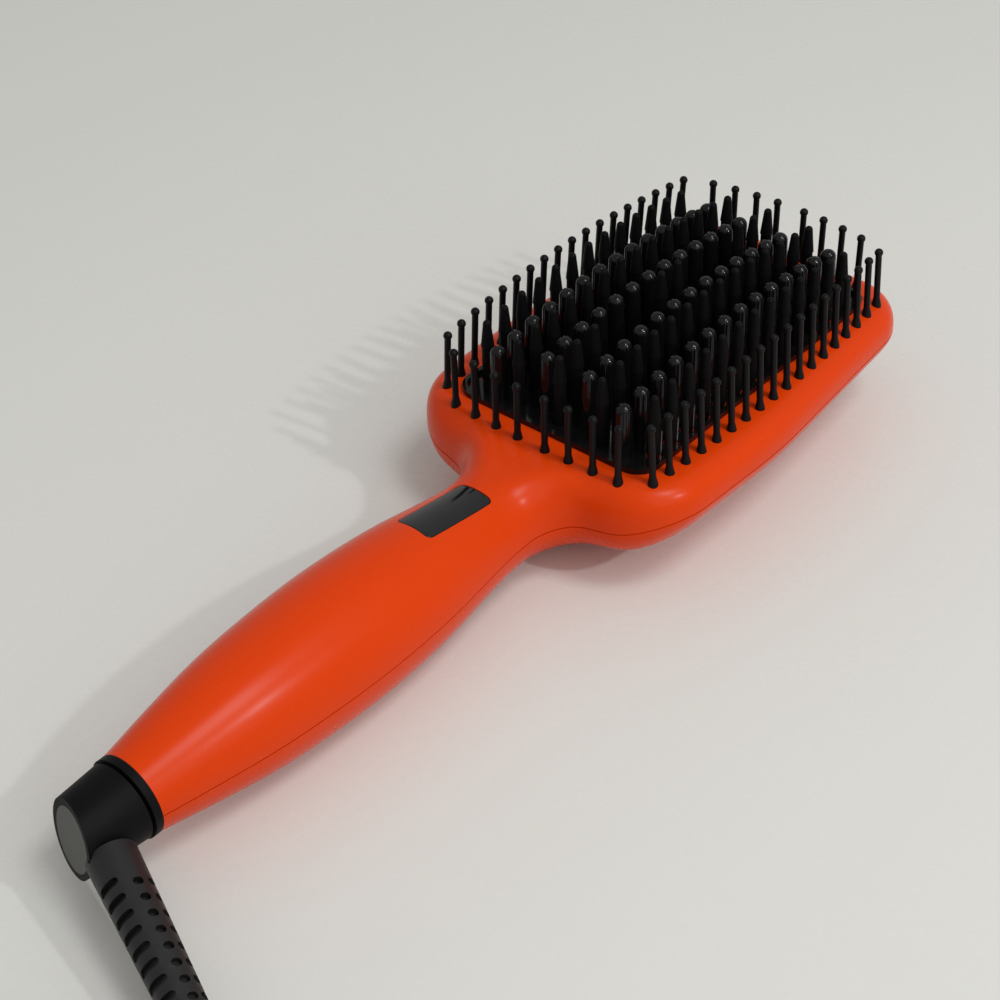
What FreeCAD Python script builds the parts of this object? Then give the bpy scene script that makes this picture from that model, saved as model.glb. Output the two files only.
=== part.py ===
"""Heated styling brush lying on its back: teeth up, head towards +X, floor at z = 0, millimetres."""
import FreeCAD, Part
import math
import os

V = FreeCAD.Vector
X_DIR = V(1, 0, 0)
Y_DIR = V(0, 1, 0)
Z_DIR = V(0, 0, 1)

# Whole body
wall = 2.0
fit = 0.2            # between pieces that are fixed to each other
move_gap = 0.35      # between pieces that move against each other
overrun = 1.0        # how far a cutting shape passes the face that it cuts

# Handle: a round spindle along X, from its open end to the neck
belly_radius = 17.0
handle_length = 117.6
end_slope = 0.2              # rise of the handle's side at its open end
end_wall_length = 13.0
# share of the handle length, share of the belly radius
handle_shares = (
    (0, 0.578), (0.13, 0.75), (0.25, 0.885), (0.39, 0.968), (0.53, 1.0),
    (0.64, 0.978), (0.745, 0.92), (0.82, 0.85), (0.915, 0.77), (1.0, 0.73),
)

# Head: a rounded paddle with a flat deck
head_length = 128.5
head_width = 86.8
head_shoulder_width_share = 0.956
head_end_width_share = 0.864
head_widest_share = 0.43     # of the head length, from the shoulder
end_bow = 1.7
shoulder_slant = 8.5         # from the shoulder's middle to its corners
shoulder_bow_radius = 60.0
shoulder_round = 20.0
end_round = 17.0
side_bow_radius = 160.0
deck_above_axis = 14.2
deck_round = 8.0
round_steps = 6              # facets in the deck's rounded edge
side_flat = 0.2              # upright side between the deck's round and the parting
back_reach = 28.0            # of the dished back, inwards from the head's side
back_power = 1.42            # its bulge: 1 is a straight slope, 2 an ellipse
back_steps = 9
least_round = 1.0            # of a corner in the dish
neck_from_shoulder = 4.5
neck_reach = 20.0            # of the neck's round underside into the head
flare_length = 14.0          # where the neck opens out into the head
flare_radius = 21.0
flare_below_axis = 4.0
parting_rise_length = 24.0   # along X, where the parting of the shells rises from the neck to the head

# Heating plate, its rim and the teeth
plate_from_shoulder = 14.4   # from the shoulder to the plate's opening
plate_from_end = 12.1        # from the opening to the head's far end
plate_from_side = 12.9       # from the opening to the head's widest side
plate_opening_round = 6.5
plate_thick = 3.0
plate_above_deck = 0.3
rim_wall = 1.1
rim_above_deck = 1.5
rim_skirt = 8.6
rim_flange = 3.0
rim_flange_thick = 1.8
rim_ledge = 0.8
rim_ledge_thick = 2.0
tooth_row_margin = 4.22      # from the outer rows to the opening's side
tooth_end_margin = 6.345     # from the rows' ends to the opening's end
tooth_crown_radius = 260.0   # of the arc that the tooth tops follow along the head
tooth_cross_radius = 128.0   # and across it
post_height = 19.9           # above the deck, in the head's middle
post_base_radius = 2.6
post_tip_radius = 2.1
guard_height = 23.9
guard_base_radius = 1.55
guard_cap_radius = 1.75      # where the guard's tapered cap begins
guard_cap_length = 7.5
guard_tip_radius = 1.05
guard_strip_width = 3.6
guard_strip_thick = 1.7
tooth_hole_gap = 0.3
long_row_count = 14
short_row_count = 13
# rows from beside the middle one outwards: what stands in them, and how many
tooth_row_table = (
    ("post", short_row_count),
    ("guard", long_row_count),
    ("post", long_row_count),
    ("guard", short_row_count),
)
middle_row_end_count = 3
middle_row_core_count = 2

# Thin pins round the plate, on one frame under the deck
side_pin_count = 18
side_pin_margin = 8.1        # from the head's widest side to the side rows
side_pin_lean = 3.5          # degrees, inwards
side_row_short = 2.04        # side rows are this much shorter than the opening
side_pin_bow = 2.6
end_pin_count = 8
end_pin_gap = 8.6            # between the two middle pins of an end row
handle_row_margin = 9.55     # from the side rows to the last pins of the end row
far_row_margin = 11.2
handle_pin_offset = 6.0      # from the first side pin
handle_pin_bow = 1.4
far_pin_offset = 6.3
far_pin_bow = 2.7
pin_height = 18.5            # in the middle of the side rows
pin_crown_radius = 735.0
pin_stem_radius = 0.85
pin_foot_radius = 1.3
pin_foot_height = 2.2
pin_ball_radius = 1.15
pin_hole_gap = 0.25
pin_frame_thick = 1.8
pin_frame_margin = 1.7
pin_frame_depth = 4.8        # frame's top under the deck's top

# Heater pack under the plate
heater_end_margin = 7.0      # from the heating elements to the clamp's end
heater_side_gap = 0.97       # to the strips of the guard pins
heater_thick = 4.3
clamp_end_margin = 6.9       # from the clamp to the rim's ledge
clamp_side_margin = 4.4
clamp_thick = 0.8
clamp_screw_margin = 3.0     # from the screws to the clamp's end
clamp_screw_radius = 1.25
clamp_screw_head_radius = 2.3
clamp_screw_head = 1.8
clamp_boss_radius = 2.9
shield_end_margin = 3.9      # from the shield to the rim's ledge
shield_side_margin = 1.4
shield_thick = 0.8
shield_gap = 0.1
fuse_radius = 2.0
fuse_length = 11.0
sensor_length = 6.0
sensor_width = 4.0
sensor_thick = 3.6
heater_wire_radius = 0.9
heater_wire_drop = 2.4       # below the rim's skirt

# Controls: board along the handle's axis, display on top, three push buttons below
board_length = 60.0
board_width = 17.0
board_thick = 1.6
board_from_neck = 3.7
board_part_height = 3.0
board_rib_thick = 2.0
board_rib_inset = 1.2
lens_length = 22.4
lens_width = 10.3
lens_round = 1.4
lens_from_neck = 6.7
display_length = 19.0
display_width = 8.6
button_radius = 3.5
button_pitch = 10.5
button_proud = 1.0
button_travel = 0.6
button_flange = 1.2
button_flange_thick = 1.2
button_edge = 0.7
switch_size = 6.0
switch_height = 3.5
plunger_radius = 1.6
plunger_height = 0.7

# Screws that close the two shells
screw_radius = 1.1
screw_head_radius = 2.0
screw_head = 1.4
screw_boss_radius = 2.7
screw_length = 6.0
screw_seat = 1.8             # shank inside the lower boss
head_screw_inset = 5.1       # from the head's widest side
head_screw_steps = (2, 9)    # counted in side pins from the handle, half a step on
handle_screw_share = 0.33

# Cord swivel in the handle's end
collar_width = 2.0
collar_proud = 0.1
bush_bore_radius = 5.05
bush_radius = 7.7
bush_nose_radius = 7.0
shaft_clearance = 0.05
clip_groove = 0.6
clip_thick = 1.2
clip_radius = 7.0
clip_end_play = 0.4
contact_stub_radius = 4.0
contact_ring_width = 2.0
contact_ring_proud = 0.6
contact_ring_spacing = 4.5
contact_stub_tail = 2.0
leaf_width = 1.6
contact_block_length = 11.0
contact_block_width = 8.0
contact_block_height = 2.2
contact_pad_rise = 1.0
supply_wire_radius = 0.8
swivel_gap = 0.7
cap_length = 13.5            # along the axis
cap_root_radius = 9.5
cap_end_radius = 8.6
cap_tilt = 17.6              # degrees, slope of the cap's end face
cap_tilt_roll = 34.0         # degrees, which way it slopes
cap_disc_radius = 7.5
cap_disc_depth = 0.5
cap_bore_radius = 2.6

# Strain relief sleeve and mains lead
sleeve_back_angle = 20.0     # degrees back from square to the handle
sleeve_drop_angle = 10.0     # degrees below level
sleeve_root_from_cap = 7.4
sleeve_length = 58.0
sleeve_neck_radius = 3.8     # inside the cap
sleeve_neck_length = 9.4
sleeve_root_radius = 5.6
sleeve_end_radius = 4.4
sleeve_bore_radius = 3.2
sleeve_slot_pitch = 4.0
sleeve_slot_count = 9
sleeve_slot_start = 18.0
sleeve_slot_width = 1.8      # along the sleeve
sleeve_slot_span = 5.6       # across it
sleeve_hole_span = 2.3
sleeve_slot_depth_share = 0.75   # of the sleeve's wall
# columns round the sleeve: degrees from its top, span, offset in pitches
sleeve_slot_columns = (
    (48, sleeve_slot_span, 0), (118, sleeve_hole_span, 0.5), (158, sleeve_hole_span, 0.5),
    (228, sleeve_slot_span, 0), (298, sleeve_hole_span, 0.5), (338, sleeve_hole_span, 0.5),
)
cord_radius = 3.1
coil_radius = 46.0
coil_step = 6.7
coil_half_turns = 6
tie_width = 8.0
tie_thick = 1.0
tie_gap = 0.5
tie_slack = 1.0               # room for the bow of the turns inside the band
plug_width = 25.0
plug_corner_radius = 7.0
plug_length = 34.0
plug_grip_length = 20.0
plug_neck_radius = 5.0
plug_blade_height = 6.4
plug_blade_thick = 1.5
plug_blade_length = 17.0
plug_blade_spacing = 12.7
plug_face_round = 2.0
plug_floor_gap = 0.1
# free end of the lead beyond the coil: (along, outwards)
tail_steps = ((11.0, 0), (22.0, 2.0), (33.0, 6.0))
lead_first_run = 10.0         # straight on from the sleeve
lead_run = 7.5
lead_sway = 0.9
supply_wire_lead = 4.0        # straight out of the contact block

# Places that follow from the sizes
cap_lean = cap_end_radius * math.sin(math.radians(cap_tilt))
swivel_length = cap_lean + cap_length + swivel_gap + collar_width
overall_length = swivel_length + handle_length + neck_from_shoulder + head_length
axis_z = belly_radius
deck_z = axis_z + deck_above_axis
head_parting_z = deck_z - deck_round - side_flat
head_end_x = overall_length / 2
shoulder_x = head_end_x - head_length
neck_x = shoulder_x - neck_from_shoulder
handle_end_x = neck_x - handle_length
neck_radius = belly_radius * handle_shares[-1][1]
end_radius = belly_radius * handle_shares[0][1]
plate_opening_length = head_length - plate_from_shoulder - plate_from_end
plate_opening_width = head_width - 2 * plate_from_side
opening_x = shoulder_x + plate_from_shoulder
plate_mid_x = opening_x + plate_opening_length / 2
plate_top_z = deck_z + plate_above_deck
plate_bottom_z = plate_top_z - plate_thick
ledge_inset = fit + rim_wall + rim_ledge
ledge_length = plate_opening_length - 2 * ledge_inset
ledge_width = plate_opening_width - 2 * ledge_inset
ledge_round = plate_opening_round - ledge_inset
tooth_row_pitch = (plate_opening_width / 2 - tooth_row_margin) / len(tooth_row_table)
tooth_row_y = [(i + 1) * tooth_row_pitch for i in range(len(tooth_row_table))]
post_row_y = [y for y, (kind, count) in zip(tooth_row_y, tooth_row_table) if kind == "post"]
guard_row_y = [y for y, (kind, count) in zip(tooth_row_y, tooth_row_table) if kind == "guard"]
heater_y = post_row_y[0]
clamp_screw_y = post_row_y[1]
heater_width = 2 * tooth_row_pitch - guard_strip_width - 2 * heater_side_gap
tooth_pitch = (plate_opening_length - 2 * tooth_end_margin) / (long_row_count - 1)
clamp_length = ledge_length - 2 * clamp_end_margin
clamp_width = ledge_width - 2 * clamp_side_margin
clamp_screw_x = clamp_length / 2 - clamp_screw_margin
shield_length = ledge_length - 2 * shield_end_margin
shield_width = ledge_width - 2 * shield_side_margin
heater_length = clamp_length - 2 * heater_end_margin
strip_top_z = plate_bottom_z - fit
clamp_top_z = plate_bottom_z - heater_thick - fit
side_pin_y = head_width / 2 - side_pin_margin
side_pin_pitch = (plate_opening_length - side_row_short) / (side_pin_count - 1)
end_pin_steps = end_pin_count / 2 - 1
handle_pin_pitch = (side_pin_y - handle_row_margin - end_pin_gap / 2) / end_pin_steps
far_pin_pitch = (side_pin_y - far_row_margin - end_pin_gap / 2) / end_pin_steps
side_pin_first_x = plate_mid_x - side_pin_pitch * (side_pin_count - 1) / 2
side_pin_last_x = plate_mid_x + side_pin_pitch * (side_pin_count - 1) / 2
pin_frame_top_z = deck_z - pin_frame_depth
board_end_x = neck_x - board_from_neck
board_mid_x = board_end_x - board_length / 2
board_top_z = axis_z + board_thick / 2
board_bottom_z = axis_z - board_thick / 2
lens_mid_x = neck_x - lens_from_neck - lens_length / 2
bore_radius = bush_radius + shaft_clearance
collar_x = handle_end_x - collar_width
cap_x = collar_x - swivel_gap
cap_end_x = cap_x - cap_length
contact_block_x = handle_end_x + end_wall_length + fit + contact_block_length / 2
shaft_radius = bush_bore_radius - shaft_clearance


# Tools for making shapes

def rounded_outline(corners):
    """Closed flat wire through (x, y, radius) corners, each turned by a tangent arc."""
    edges = []
    count = len(corners)
    ends = []
    for i in range(count):
        x, y, radius = corners[i]
        before = V(corners[i - 1][0], corners[i - 1][1], 0)
        after = V(corners[(i + 1) % count][0], corners[(i + 1) % count][1], 0)
        here = V(x, y, 0)
        back = (before - here).normalize()
        on = (after - here).normalize()
        half = back.getAngle(on) / 2
        reach = radius / math.tan(half)
        first = here + back * reach
        last = here + on * reach
        bisector = (back + on).normalize()
        middle = here + bisector * (radius / math.sin(half) - radius)
        ends.append((first, middle, last))
    for i in range(count):
        first, middle, last = ends[i]
        edges.append(Part.Arc(first, middle, last).toShape())
        edges.append(Part.makeLine(last, ends[(i + 1) % count][0]))
    return Part.Wire(edges)


def prism(wire, low, high):
    """Upright solid on a flat wire."""
    face = Part.Face(wire)
    face.translate(V(0, 0, low))
    return face.extrude(V(0, 0, high - low))


def slab(length, width, low, high, mid_x=0, mid_y=0):
    """Upright box about a middle point."""
    corner = V(mid_x - length / 2, mid_y - width / 2, low)
    return Part.makeBox(length, width, high - low, corner)


def rounded_slab(length, width, radius, low, high, mid_x):
    """Upright box with rounded corners."""
    a = length / 2
    b = width / 2
    signs = ((-1, -1), (1, -1), (1, 1), (-1, 1))
    corners = [(mid_x + i * a, j * b, radius) for i, j in signs]
    return prism(rounded_outline(corners), low, high)


def rod(radius, start, end):
    """Round bar between two points."""
    way = end - start
    return Part.makeCylinder(radius, way.Length, start, way)


def cone(first_radius, last_radius, start, end):
    """Tapered round bar between two points."""
    way = end - start
    return Part.makeCone(first_radius, last_radius, way.Length, start, way)


def turned(points):
    """Upright solid turned about Z from (radius, height) points joined by straight lines."""
    wire = Part.makePolygon([V(r, 0, z) for r, z in points] + [V(points[0][0], 0, points[0][1])])
    return Part.Face(wire).revolve(V(0, 0, 0), Z_DIR, 360)


def tangent_arc(start, heading, end):
    """Arc that leaves start along heading and ends at end."""
    chord = end - start
    normal = (chord - heading * chord.dot(heading)).normalize()
    radius = chord.Length ** 2 / (2 * chord.dot(normal))
    centre = start + normal * radius
    middle = centre + ((start - centre) + (end - centre)).normalize() * radius
    return Part.Arc(start, middle, end).toShape()


def cord_path(points, label):
    """Straight runs joined by tangent arcs, each as large as its two runs allow."""
    edges = []
    radii = []
    at = points[0]
    for i in range(1, len(points) - 1):
        here = points[i]
        back = points[i - 1] - here
        on = points[i + 1] - here
        reach = 0.45 * min(back.Length, on.Length)
        half = back.getAngle(on) / 2
        radius = reach * math.tan(half)
        first = here + back.normalize() * reach
        last = here + on.normalize() * reach
        middle = here + (back + on).normalize() * (radius / math.sin(half) - radius)
        edges.append(Part.makeLine(at, first))
        edges.append(Part.Arc(first, middle, last).toShape())
        radii.append(round(radius, 1))
        at = last
    edges.append(Part.makeLine(at, points[-1]))
    print(label, "bend radii in mm:", radii)
    return edges


def tube(edges, radius, label):
    """Round tube along a path of tangent edges, its volume compared with section times length."""
    path = Part.Wire(edges)
    start = edges[0].Vertexes[0].Point
    heading = edges[0].tangentAt(edges[0].FirstParameter)
    section = Part.Wire(Part.makeCircle(radius, start, heading))
    solid = path.makePipeShell([section], True, False)
    ratio = solid.Volume / (math.pi * radius ** 2 * path.Length)
    print(label, "length %.1f mm, volume ratio %.4f" % (path.Length, ratio))
    return solid


def save(name, shape):
    """One STEP file for one node."""
    shape = shape.removeSplitter()
    shape.exportStep("parts/" + name + ".step")
    print(name, len(shape.Solids), "solids, valid" if shape.isValid() else "solids, NOT valid")


# The body, as a full solid that can be drawn smaller by an inset

def spindle(inset, start_x):
    """Round handle that runs on into the head's underside, and the flare that opens out into its shoulder."""
    points = []
    for along_share, radius_share in handle_shares:
        height = axis_z + belly_radius * radius_share - inset
        points.append(V(handle_end_x + along_share * handle_length, 0, height))
    curve = Part.BSplineCurve()
    curve.interpolate(Points=points, InitialTangent=V(1, 0, end_slope), FinalTangent=X_DIR)
    first = V(handle_end_x, 0, axis_z)
    last = V(neck_x, 0, axis_z)
    edges = [
        curve.toShape(),
        Part.makeLine(points[-1], last),
        Part.makeLine(last, first),
        Part.makeLine(first, points[0]),
    ]
    handle = Part.Face(Part.Wire(edges)).revolve(first, X_DIR, 360)
    if start_x > handle_end_x:
        reach = belly_radius + overrun
        handle = handle.cut(rod(reach, first - X_DIR * overrun, V(start_x, 0, axis_z)))
    flare_end = V(neck_x + flare_length, 0, axis_z + flare_radius - inset)
    inside = V(flare_end.x, 0, axis_z)
    edges = [
        tangent_arc(points[-1], X_DIR, flare_end),
        Part.makeLine(flare_end, inside),
        Part.makeLine(inside, last),
        Part.makeLine(last, points[-1]),
    ]
    flare = Part.Face(Part.Wire(edges)).revolve(first, X_DIR, 360)
    room = slab(overall_length, head_width, axis_z - flare_below_axis + inset, deck_z - inset)
    core = rod(neck_radius - inset, last, last + X_DIR * neck_reach)
    return handle.fuse([flare.common(room), core])


def head_corners(inset):
    """Corners of the head's plan, moved in by an inset with their rounds kept concentric."""
    half = head_width / 2
    right = [
        (shoulder_x + shoulder_slant, half * head_shoulder_width_share, shoulder_round),
        (shoulder_x + head_length * head_widest_share, half, side_bow_radius),
        (head_end_x - end_bow, half * head_end_width_share, end_round),
    ]
    left = [(x, -y, radius) for x, y, radius in right]
    ring = [(shoulder_x, 0, shoulder_bow_radius)] + left + [(head_end_x, 0, side_bow_radius)] + right[::-1]
    moved = []
    for i in range(len(ring)):
        before = V(ring[i - 1][0], ring[i - 1][1], 0)
        here = V(ring[i][0], ring[i][1], 0)
        after = V(ring[(i + 1) % len(ring)][0], ring[(i + 1) % len(ring)][1], 0)
        back = (before - here).normalize()
        on = (after - here).normalize()
        half_angle = back.getAngle(on) / 2
        place = here + (back + on).normalize() * (inset / math.sin(half_angle))
        moved.append((place.x, place.y, max(ring[i][2] - inset, least_round)))
    return moved


def head_block(inset):
    """Head as stacked outlines: dished back, short upright side, round deck edge."""
    levels = []
    for i in range(back_steps, -1, -1):
        depth_share = i / back_steps
        inwards_share = 1 - (1 - depth_share ** back_power) ** (1 / back_power)
        depth = (head_parting_z - inset) * depth_share
        levels.append((head_parting_z - depth, inset + (back_reach - inset) * inwards_share))
    for i in range(round_steps, -1, -1):
        turn = math.radians(90 * i / round_steps)
        radius = deck_round - inset
        levels.append((deck_z - inset - radius * (1 - math.cos(turn)), inset + radius * (1 - math.sin(turn))))
    wires = []
    for height, step in levels:
        wire = rounded_outline(head_corners(step))
        wire.translate(V(0, 0, height))
        wires.append(wire)
    return Part.makeLoft(wires, True, True)


def body(inset, start_x):
    """Whole outer form of the brush without its teeth, or its hollow."""
    return spindle(inset, start_x).fuse(head_block(inset)).removeSplitter()


# Places of the repeated pieces

def tooth_rows():
    """Places of the heated posts and of the guard pins, as two lists of (x, y)."""
    posts = []
    guards = []
    for side in (-1, 1):
        for y, (kind, count) in zip(tooth_row_y, tooth_row_table):
            places = posts if kind == "post" else guards
            for i in range(count):
                places.append((plate_mid_x + (i - (count - 1) / 2) * tooth_pitch, side * y))
    for i in range(long_row_count):
        at_end = i < middle_row_end_count or i >= long_row_count - middle_row_end_count
        in_core = abs(i - (long_row_count - 1) / 2) < middle_row_core_count / 2
        if at_end or in_core:
            guards.append((plate_mid_x + (i - (long_row_count - 1) / 2) * tooth_pitch, 0))
    return posts, guards


def tooth_drop(x, y):
    """How much lower a tooth's top is than in the head's middle."""
    return (x - plate_mid_x) ** 2 / (2 * tooth_crown_radius) + y ** 2 / (2 * tooth_cross_radius)


def thin_pin_places():
    """Places and lean of the thin pins round the plate: two bowed side rows and two bowed end rows."""
    places = []
    half_row = side_pin_last_x - plate_mid_x
    for i in range(side_pin_count):
        x = side_pin_first_x + i * side_pin_pitch
        y = side_pin_y - side_pin_bow * ((x - plate_mid_x) / half_row) ** 2
        places += [(x, y, side_pin_lean), (x, -y, -side_pin_lean)]
    for first_x, way, bow, pitch in (
        (side_pin_first_x - handle_pin_offset, 1, handle_pin_bow, handle_pin_pitch),
        (side_pin_last_x + far_pin_offset, -1, far_pin_bow, far_pin_pitch),
    ):
        last_y = end_pin_gap / 2 + end_pin_steps * pitch
        for i in range(end_pin_count // 2):
            y = end_pin_gap / 2 + i * pitch
            x = first_x + way * bow * (y / last_y) ** 2
            places += [(x, y, 0), (x, -y, 0)]
    return places


def stand(shape, x, y, lean=0):
    """Puts a shape made at the origin in its place on the deck, leaned about its foot."""
    shape.rotate(V(0, 0, deck_z), X_DIR, lean)
    shape.translate(V(x, y, 0))
    return shape


def head_screw_places():
    """Places of the four screws in the head, each between two thin pins."""
    y = head_width / 2 - head_screw_inset
    places = []
    for step in head_screw_steps:
        x = side_pin_first_x + (step + 0.5) * side_pin_pitch
        places += [(x, y), (x, -y)]
    return places


posts, guards = tooth_rows()
thin_pins = thin_pin_places()
# each screw's place and the height of the parting there
screws = [(x, y, head_parting_z) for x, y in head_screw_places()]
screws.append((handle_end_x + handle_length * handle_screw_share, 0, axis_z))


# Shells

def whole_shell():
    """Hollow body with a thick wall at the handle's end, bored for the swivel bush."""
    shell = body(0, handle_end_x).cut(body(wall, handle_end_x + end_wall_length))
    reach = handle_end_x + end_wall_length + overrun
    return shell.cut(rod(bore_radius, V(handle_end_x - overrun, 0, axis_z), V(reach, 0, axis_z)))


def lens_prism(gap):
    """Upright block with the outline of the display window."""
    length = lens_length + 2 * gap
    width = lens_width + 2 * gap
    return rounded_slab(length, width, lens_round + gap, board_top_z, deck_z + overrun, lens_mid_x)


def spindle_radius(x):
    """Outer radius of the handle at x."""
    reach = belly_radius + overrun
    strip = Part.makeLine(V(x, 0, axis_z), V(x, 0, axis_z + reach))
    return outer_body.common(strip).BoundBox.ZMax - axis_z


def button_places():
    """Middle x of the three buttons under the neck, from the head backwards."""
    return [lens_mid_x + lens_length / 2 - i * button_pitch for i in range(3)]


def parting_room(edge_z):
    """Room between a level edge and the parting, which rises from the handle's axis to the head's sides."""
    far = overall_length
    mid_z = (axis_z + head_parting_z) / 2
    start = V(neck_x, 0, axis_z)
    middle = V(neck_x + parting_rise_length / 2, 0, mid_z)
    end = V(neck_x + parting_rise_length, 0, head_parting_z)
    corners = [V(far, 0, head_parting_z), V(far, 0, edge_z), V(-far, 0, edge_z), V(-far, 0, axis_z)]
    edges = [tangent_arc(start, X_DIR, middle), tangent_arc(end, -X_DIR, middle)]
    edges.append(Part.makeLine(end, corners[0]))
    for i in range(len(corners) - 1):
        edges.append(Part.makeLine(corners[i], corners[i + 1]))
    edges.append(Part.makeLine(corners[-1], start))
    face = Part.Face(Part.Wire(edges))
    face.translate(Y_DIR * -head_width)
    return face.extrude(Y_DIR * (2 * head_width))


def top_shell():
    """Upper half of the body with its deck openings, holes and screw bosses."""
    half = shell_body.common(parting_room(deck_z + overrun))
    for x, y, split_z in screws:
        boss = rod(screw_boss_radius, V(x, y, split_z), V(x, y, deck_z))
        half = half.fuse(boss.common(outer_body))
    for x, y, split_z in screws:
        tip_z = split_z - screw_seat + screw_length
        half = half.cut(rod(screw_radius, V(x, y, split_z - overrun), V(x, y, tip_z)))
    cuts = [
        rounded_slab(
            plate_opening_length, plate_opening_width, plate_opening_round,
            axis_z, deck_z + overrun, plate_mid_x,
        ),
        lens_prism(0),
    ]
    for x, y, lean in thin_pins:
        hole = rod(pin_foot_radius + pin_hole_gap, V(0, 0, pin_frame_top_z), V(0, 0, deck_z + overrun))
        cuts.append(stand(hole, x, y, lean))
    return half.cut(Part.makeCompound(cuts))


def bottom_shell():
    """Lower half of the body with button holes and screw pockets."""
    half = shell_body.common(parting_room(-overrun))
    for x, y, split_z in screws:
        half = half.fuse(rod(screw_boss_radius, V(x, y, 0), V(x, y, split_z)).common(outer_body))
    rib_y = board_width / 2 - board_rib_inset
    ribs = []
    for way in (-1, 1):
        ribs.append(slab(board_length, board_rib_thick, 0, board_bottom_z, board_mid_x, way * rib_y))
    ribs.append(slab(contact_block_length, contact_block_width, 0, contact_pad_z, contact_block_x))
    half = half.fuse(Part.makeCompound(ribs).common(outer_body))
    for x, y, split_z in screws:
        seat = split_z - screw_seat
        half = half.cut(rod(screw_radius + fit, V(x, y, 0), V(x, y, split_z + overrun)))
        half = half.cut(rod(screw_head_radius + fit, V(x, y, -overrun), V(x, y, seat)))
    for x in button_places():
        half = half.cut(rod(button_radius + move_gap, V(x, 0, -overrun), V(x, 0, board_bottom_z)))
    return half


def shell_screws():
    """Five alike screws, heads down."""
    solids = []
    for x, y, split_z in screws:
        seat = split_z - screw_seat
        shank = rod(screw_radius, V(x, y, seat), V(x, y, seat + screw_length))
        head = rod(screw_head_radius, V(x, y, seat - screw_head), V(x, y, seat))
        solids.append(shank.fuse(head).removeSplitter())
    return Part.makeCompound(solids)


# Heating plate and teeth

def plate_rim():
    """Raised frame round the plate, with a skirt, an inner ledge and a flange that holds the pin frame."""
    outer_length = plate_opening_length - 2 * fit
    outer_width = plate_opening_width - 2 * fit
    outer_round = plate_opening_round - fit
    low = deck_z - rim_skirt
    ring = rounded_slab(outer_length, outer_width, outer_round, low, deck_z + rim_above_deck, plate_mid_x)
    flange_length = outer_length + 2 * rim_flange
    flange_width = outer_width + 2 * rim_flange
    ring = ring.fuse(rounded_slab(
        flange_length, flange_width, outer_round + rim_flange, low, low + rim_flange_thick, plate_mid_x))
    bay_length = outer_length - 2 * rim_wall
    bay_width = outer_width - 2 * rim_wall
    bay_round = outer_round - rim_wall
    ring = ring.cut(rounded_slab(
        bay_length, bay_width, bay_round, plate_bottom_z, deck_z + rim_above_deck + overrun, plate_mid_x))
    ring = ring.cut(rounded_slab(
        ledge_length, ledge_width, ledge_round, low - overrun, plate_bottom_z + overrun, plate_mid_x))
    return ring.cut(rounded_slab(
        bay_length, bay_width, bay_round, low - overrun, plate_bottom_z - rim_ledge_thick, plate_mid_x))


def clamp_screw_places():
    """Places of the four screws that pull the clamp against the plate."""
    return [(plate_mid_x + a * clamp_screw_x, b * clamp_screw_y) for a in (-1, 1) for b in (-1, 1)]


def heating_plate():
    """Cast plate with its heated posts, holes for the guard pins and bosses underneath."""
    gap = fit + rim_wall + fit
    plate = rounded_slab(
        plate_opening_length - 2 * gap, plate_opening_width - 2 * gap, plate_opening_round - gap,
        plate_bottom_z, plate_top_z, plate_mid_x)
    adds = []
    for x, y in posts:
        neck = deck_z + post_height - tooth_drop(x, y) - post_tip_radius
        post = turned([
            (0, plate_bottom_z), (post_base_radius, plate_bottom_z), (post_base_radius, plate_top_z),
            (post_tip_radius, neck), (0, neck),
        ]).fuse(Part.makeSphere(post_tip_radius, V(0, 0, neck)))
        adds.append(stand(post, x, y))
    for x, y in clamp_screw_places():
        adds.append(rod(clamp_boss_radius, V(x, y, clamp_top_z), V(x, y, plate_top_z)))
    plate = plate.fuse(adds)
    cuts = []
    for x, y in guards:
        hole = guard_base_radius + tooth_hole_gap
        cuts.append(rod(hole, V(x, y, plate_bottom_z - overrun), V(x, y, plate_top_z + overrun)))
    for x, y in clamp_screw_places():
        cuts.append(rod(clamp_screw_radius, V(x, y, clamp_top_z - overrun), V(x, y, plate_bottom_z)))
    return plate.cut(Part.makeCompound(cuts))


def guard_pins():
    """Unheated pins on five strips under the plate, tied by a bar at each end."""
    low = strip_top_z - guard_strip_thick
    reach = (long_row_count - 1) * tooth_pitch + guard_strip_width
    strips = []
    for y in [0] + guard_row_y + [-y for y in guard_row_y]:
        strips.append(slab(reach, guard_strip_width, low, strip_top_z, plate_mid_x, y))
    for way in (-1, 1):
        x = plate_mid_x + way * (reach - guard_strip_width) / 2
        span = 2 * guard_row_y[-1] + guard_strip_width
        strips.append(slab(guard_strip_width, span, low, strip_top_z, x))
    adds = []
    for x, y in guards:
        top = deck_z + guard_height - tooth_drop(x, y)
        cap = top - guard_cap_length
        neck = top - guard_tip_radius
        pin = turned([
            (0, low), (guard_base_radius, low), (guard_base_radius, cap), (guard_cap_radius, cap),
            (guard_tip_radius, neck), (0, neck),
        ]).fuse(Part.makeSphere(guard_tip_radius, V(0, 0, neck)))
        adds.append(stand(pin, x, y))
    frame = strips[0].fuse(strips[1:])
    room_length = ledge_length - 2 * fit
    room_width = ledge_width - 2 * fit
    frame = frame.common(rounded_slab(room_length, room_width, ledge_round, low, strip_top_z, plate_mid_x))
    return frame.fuse(adds).removeSplitter()


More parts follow.
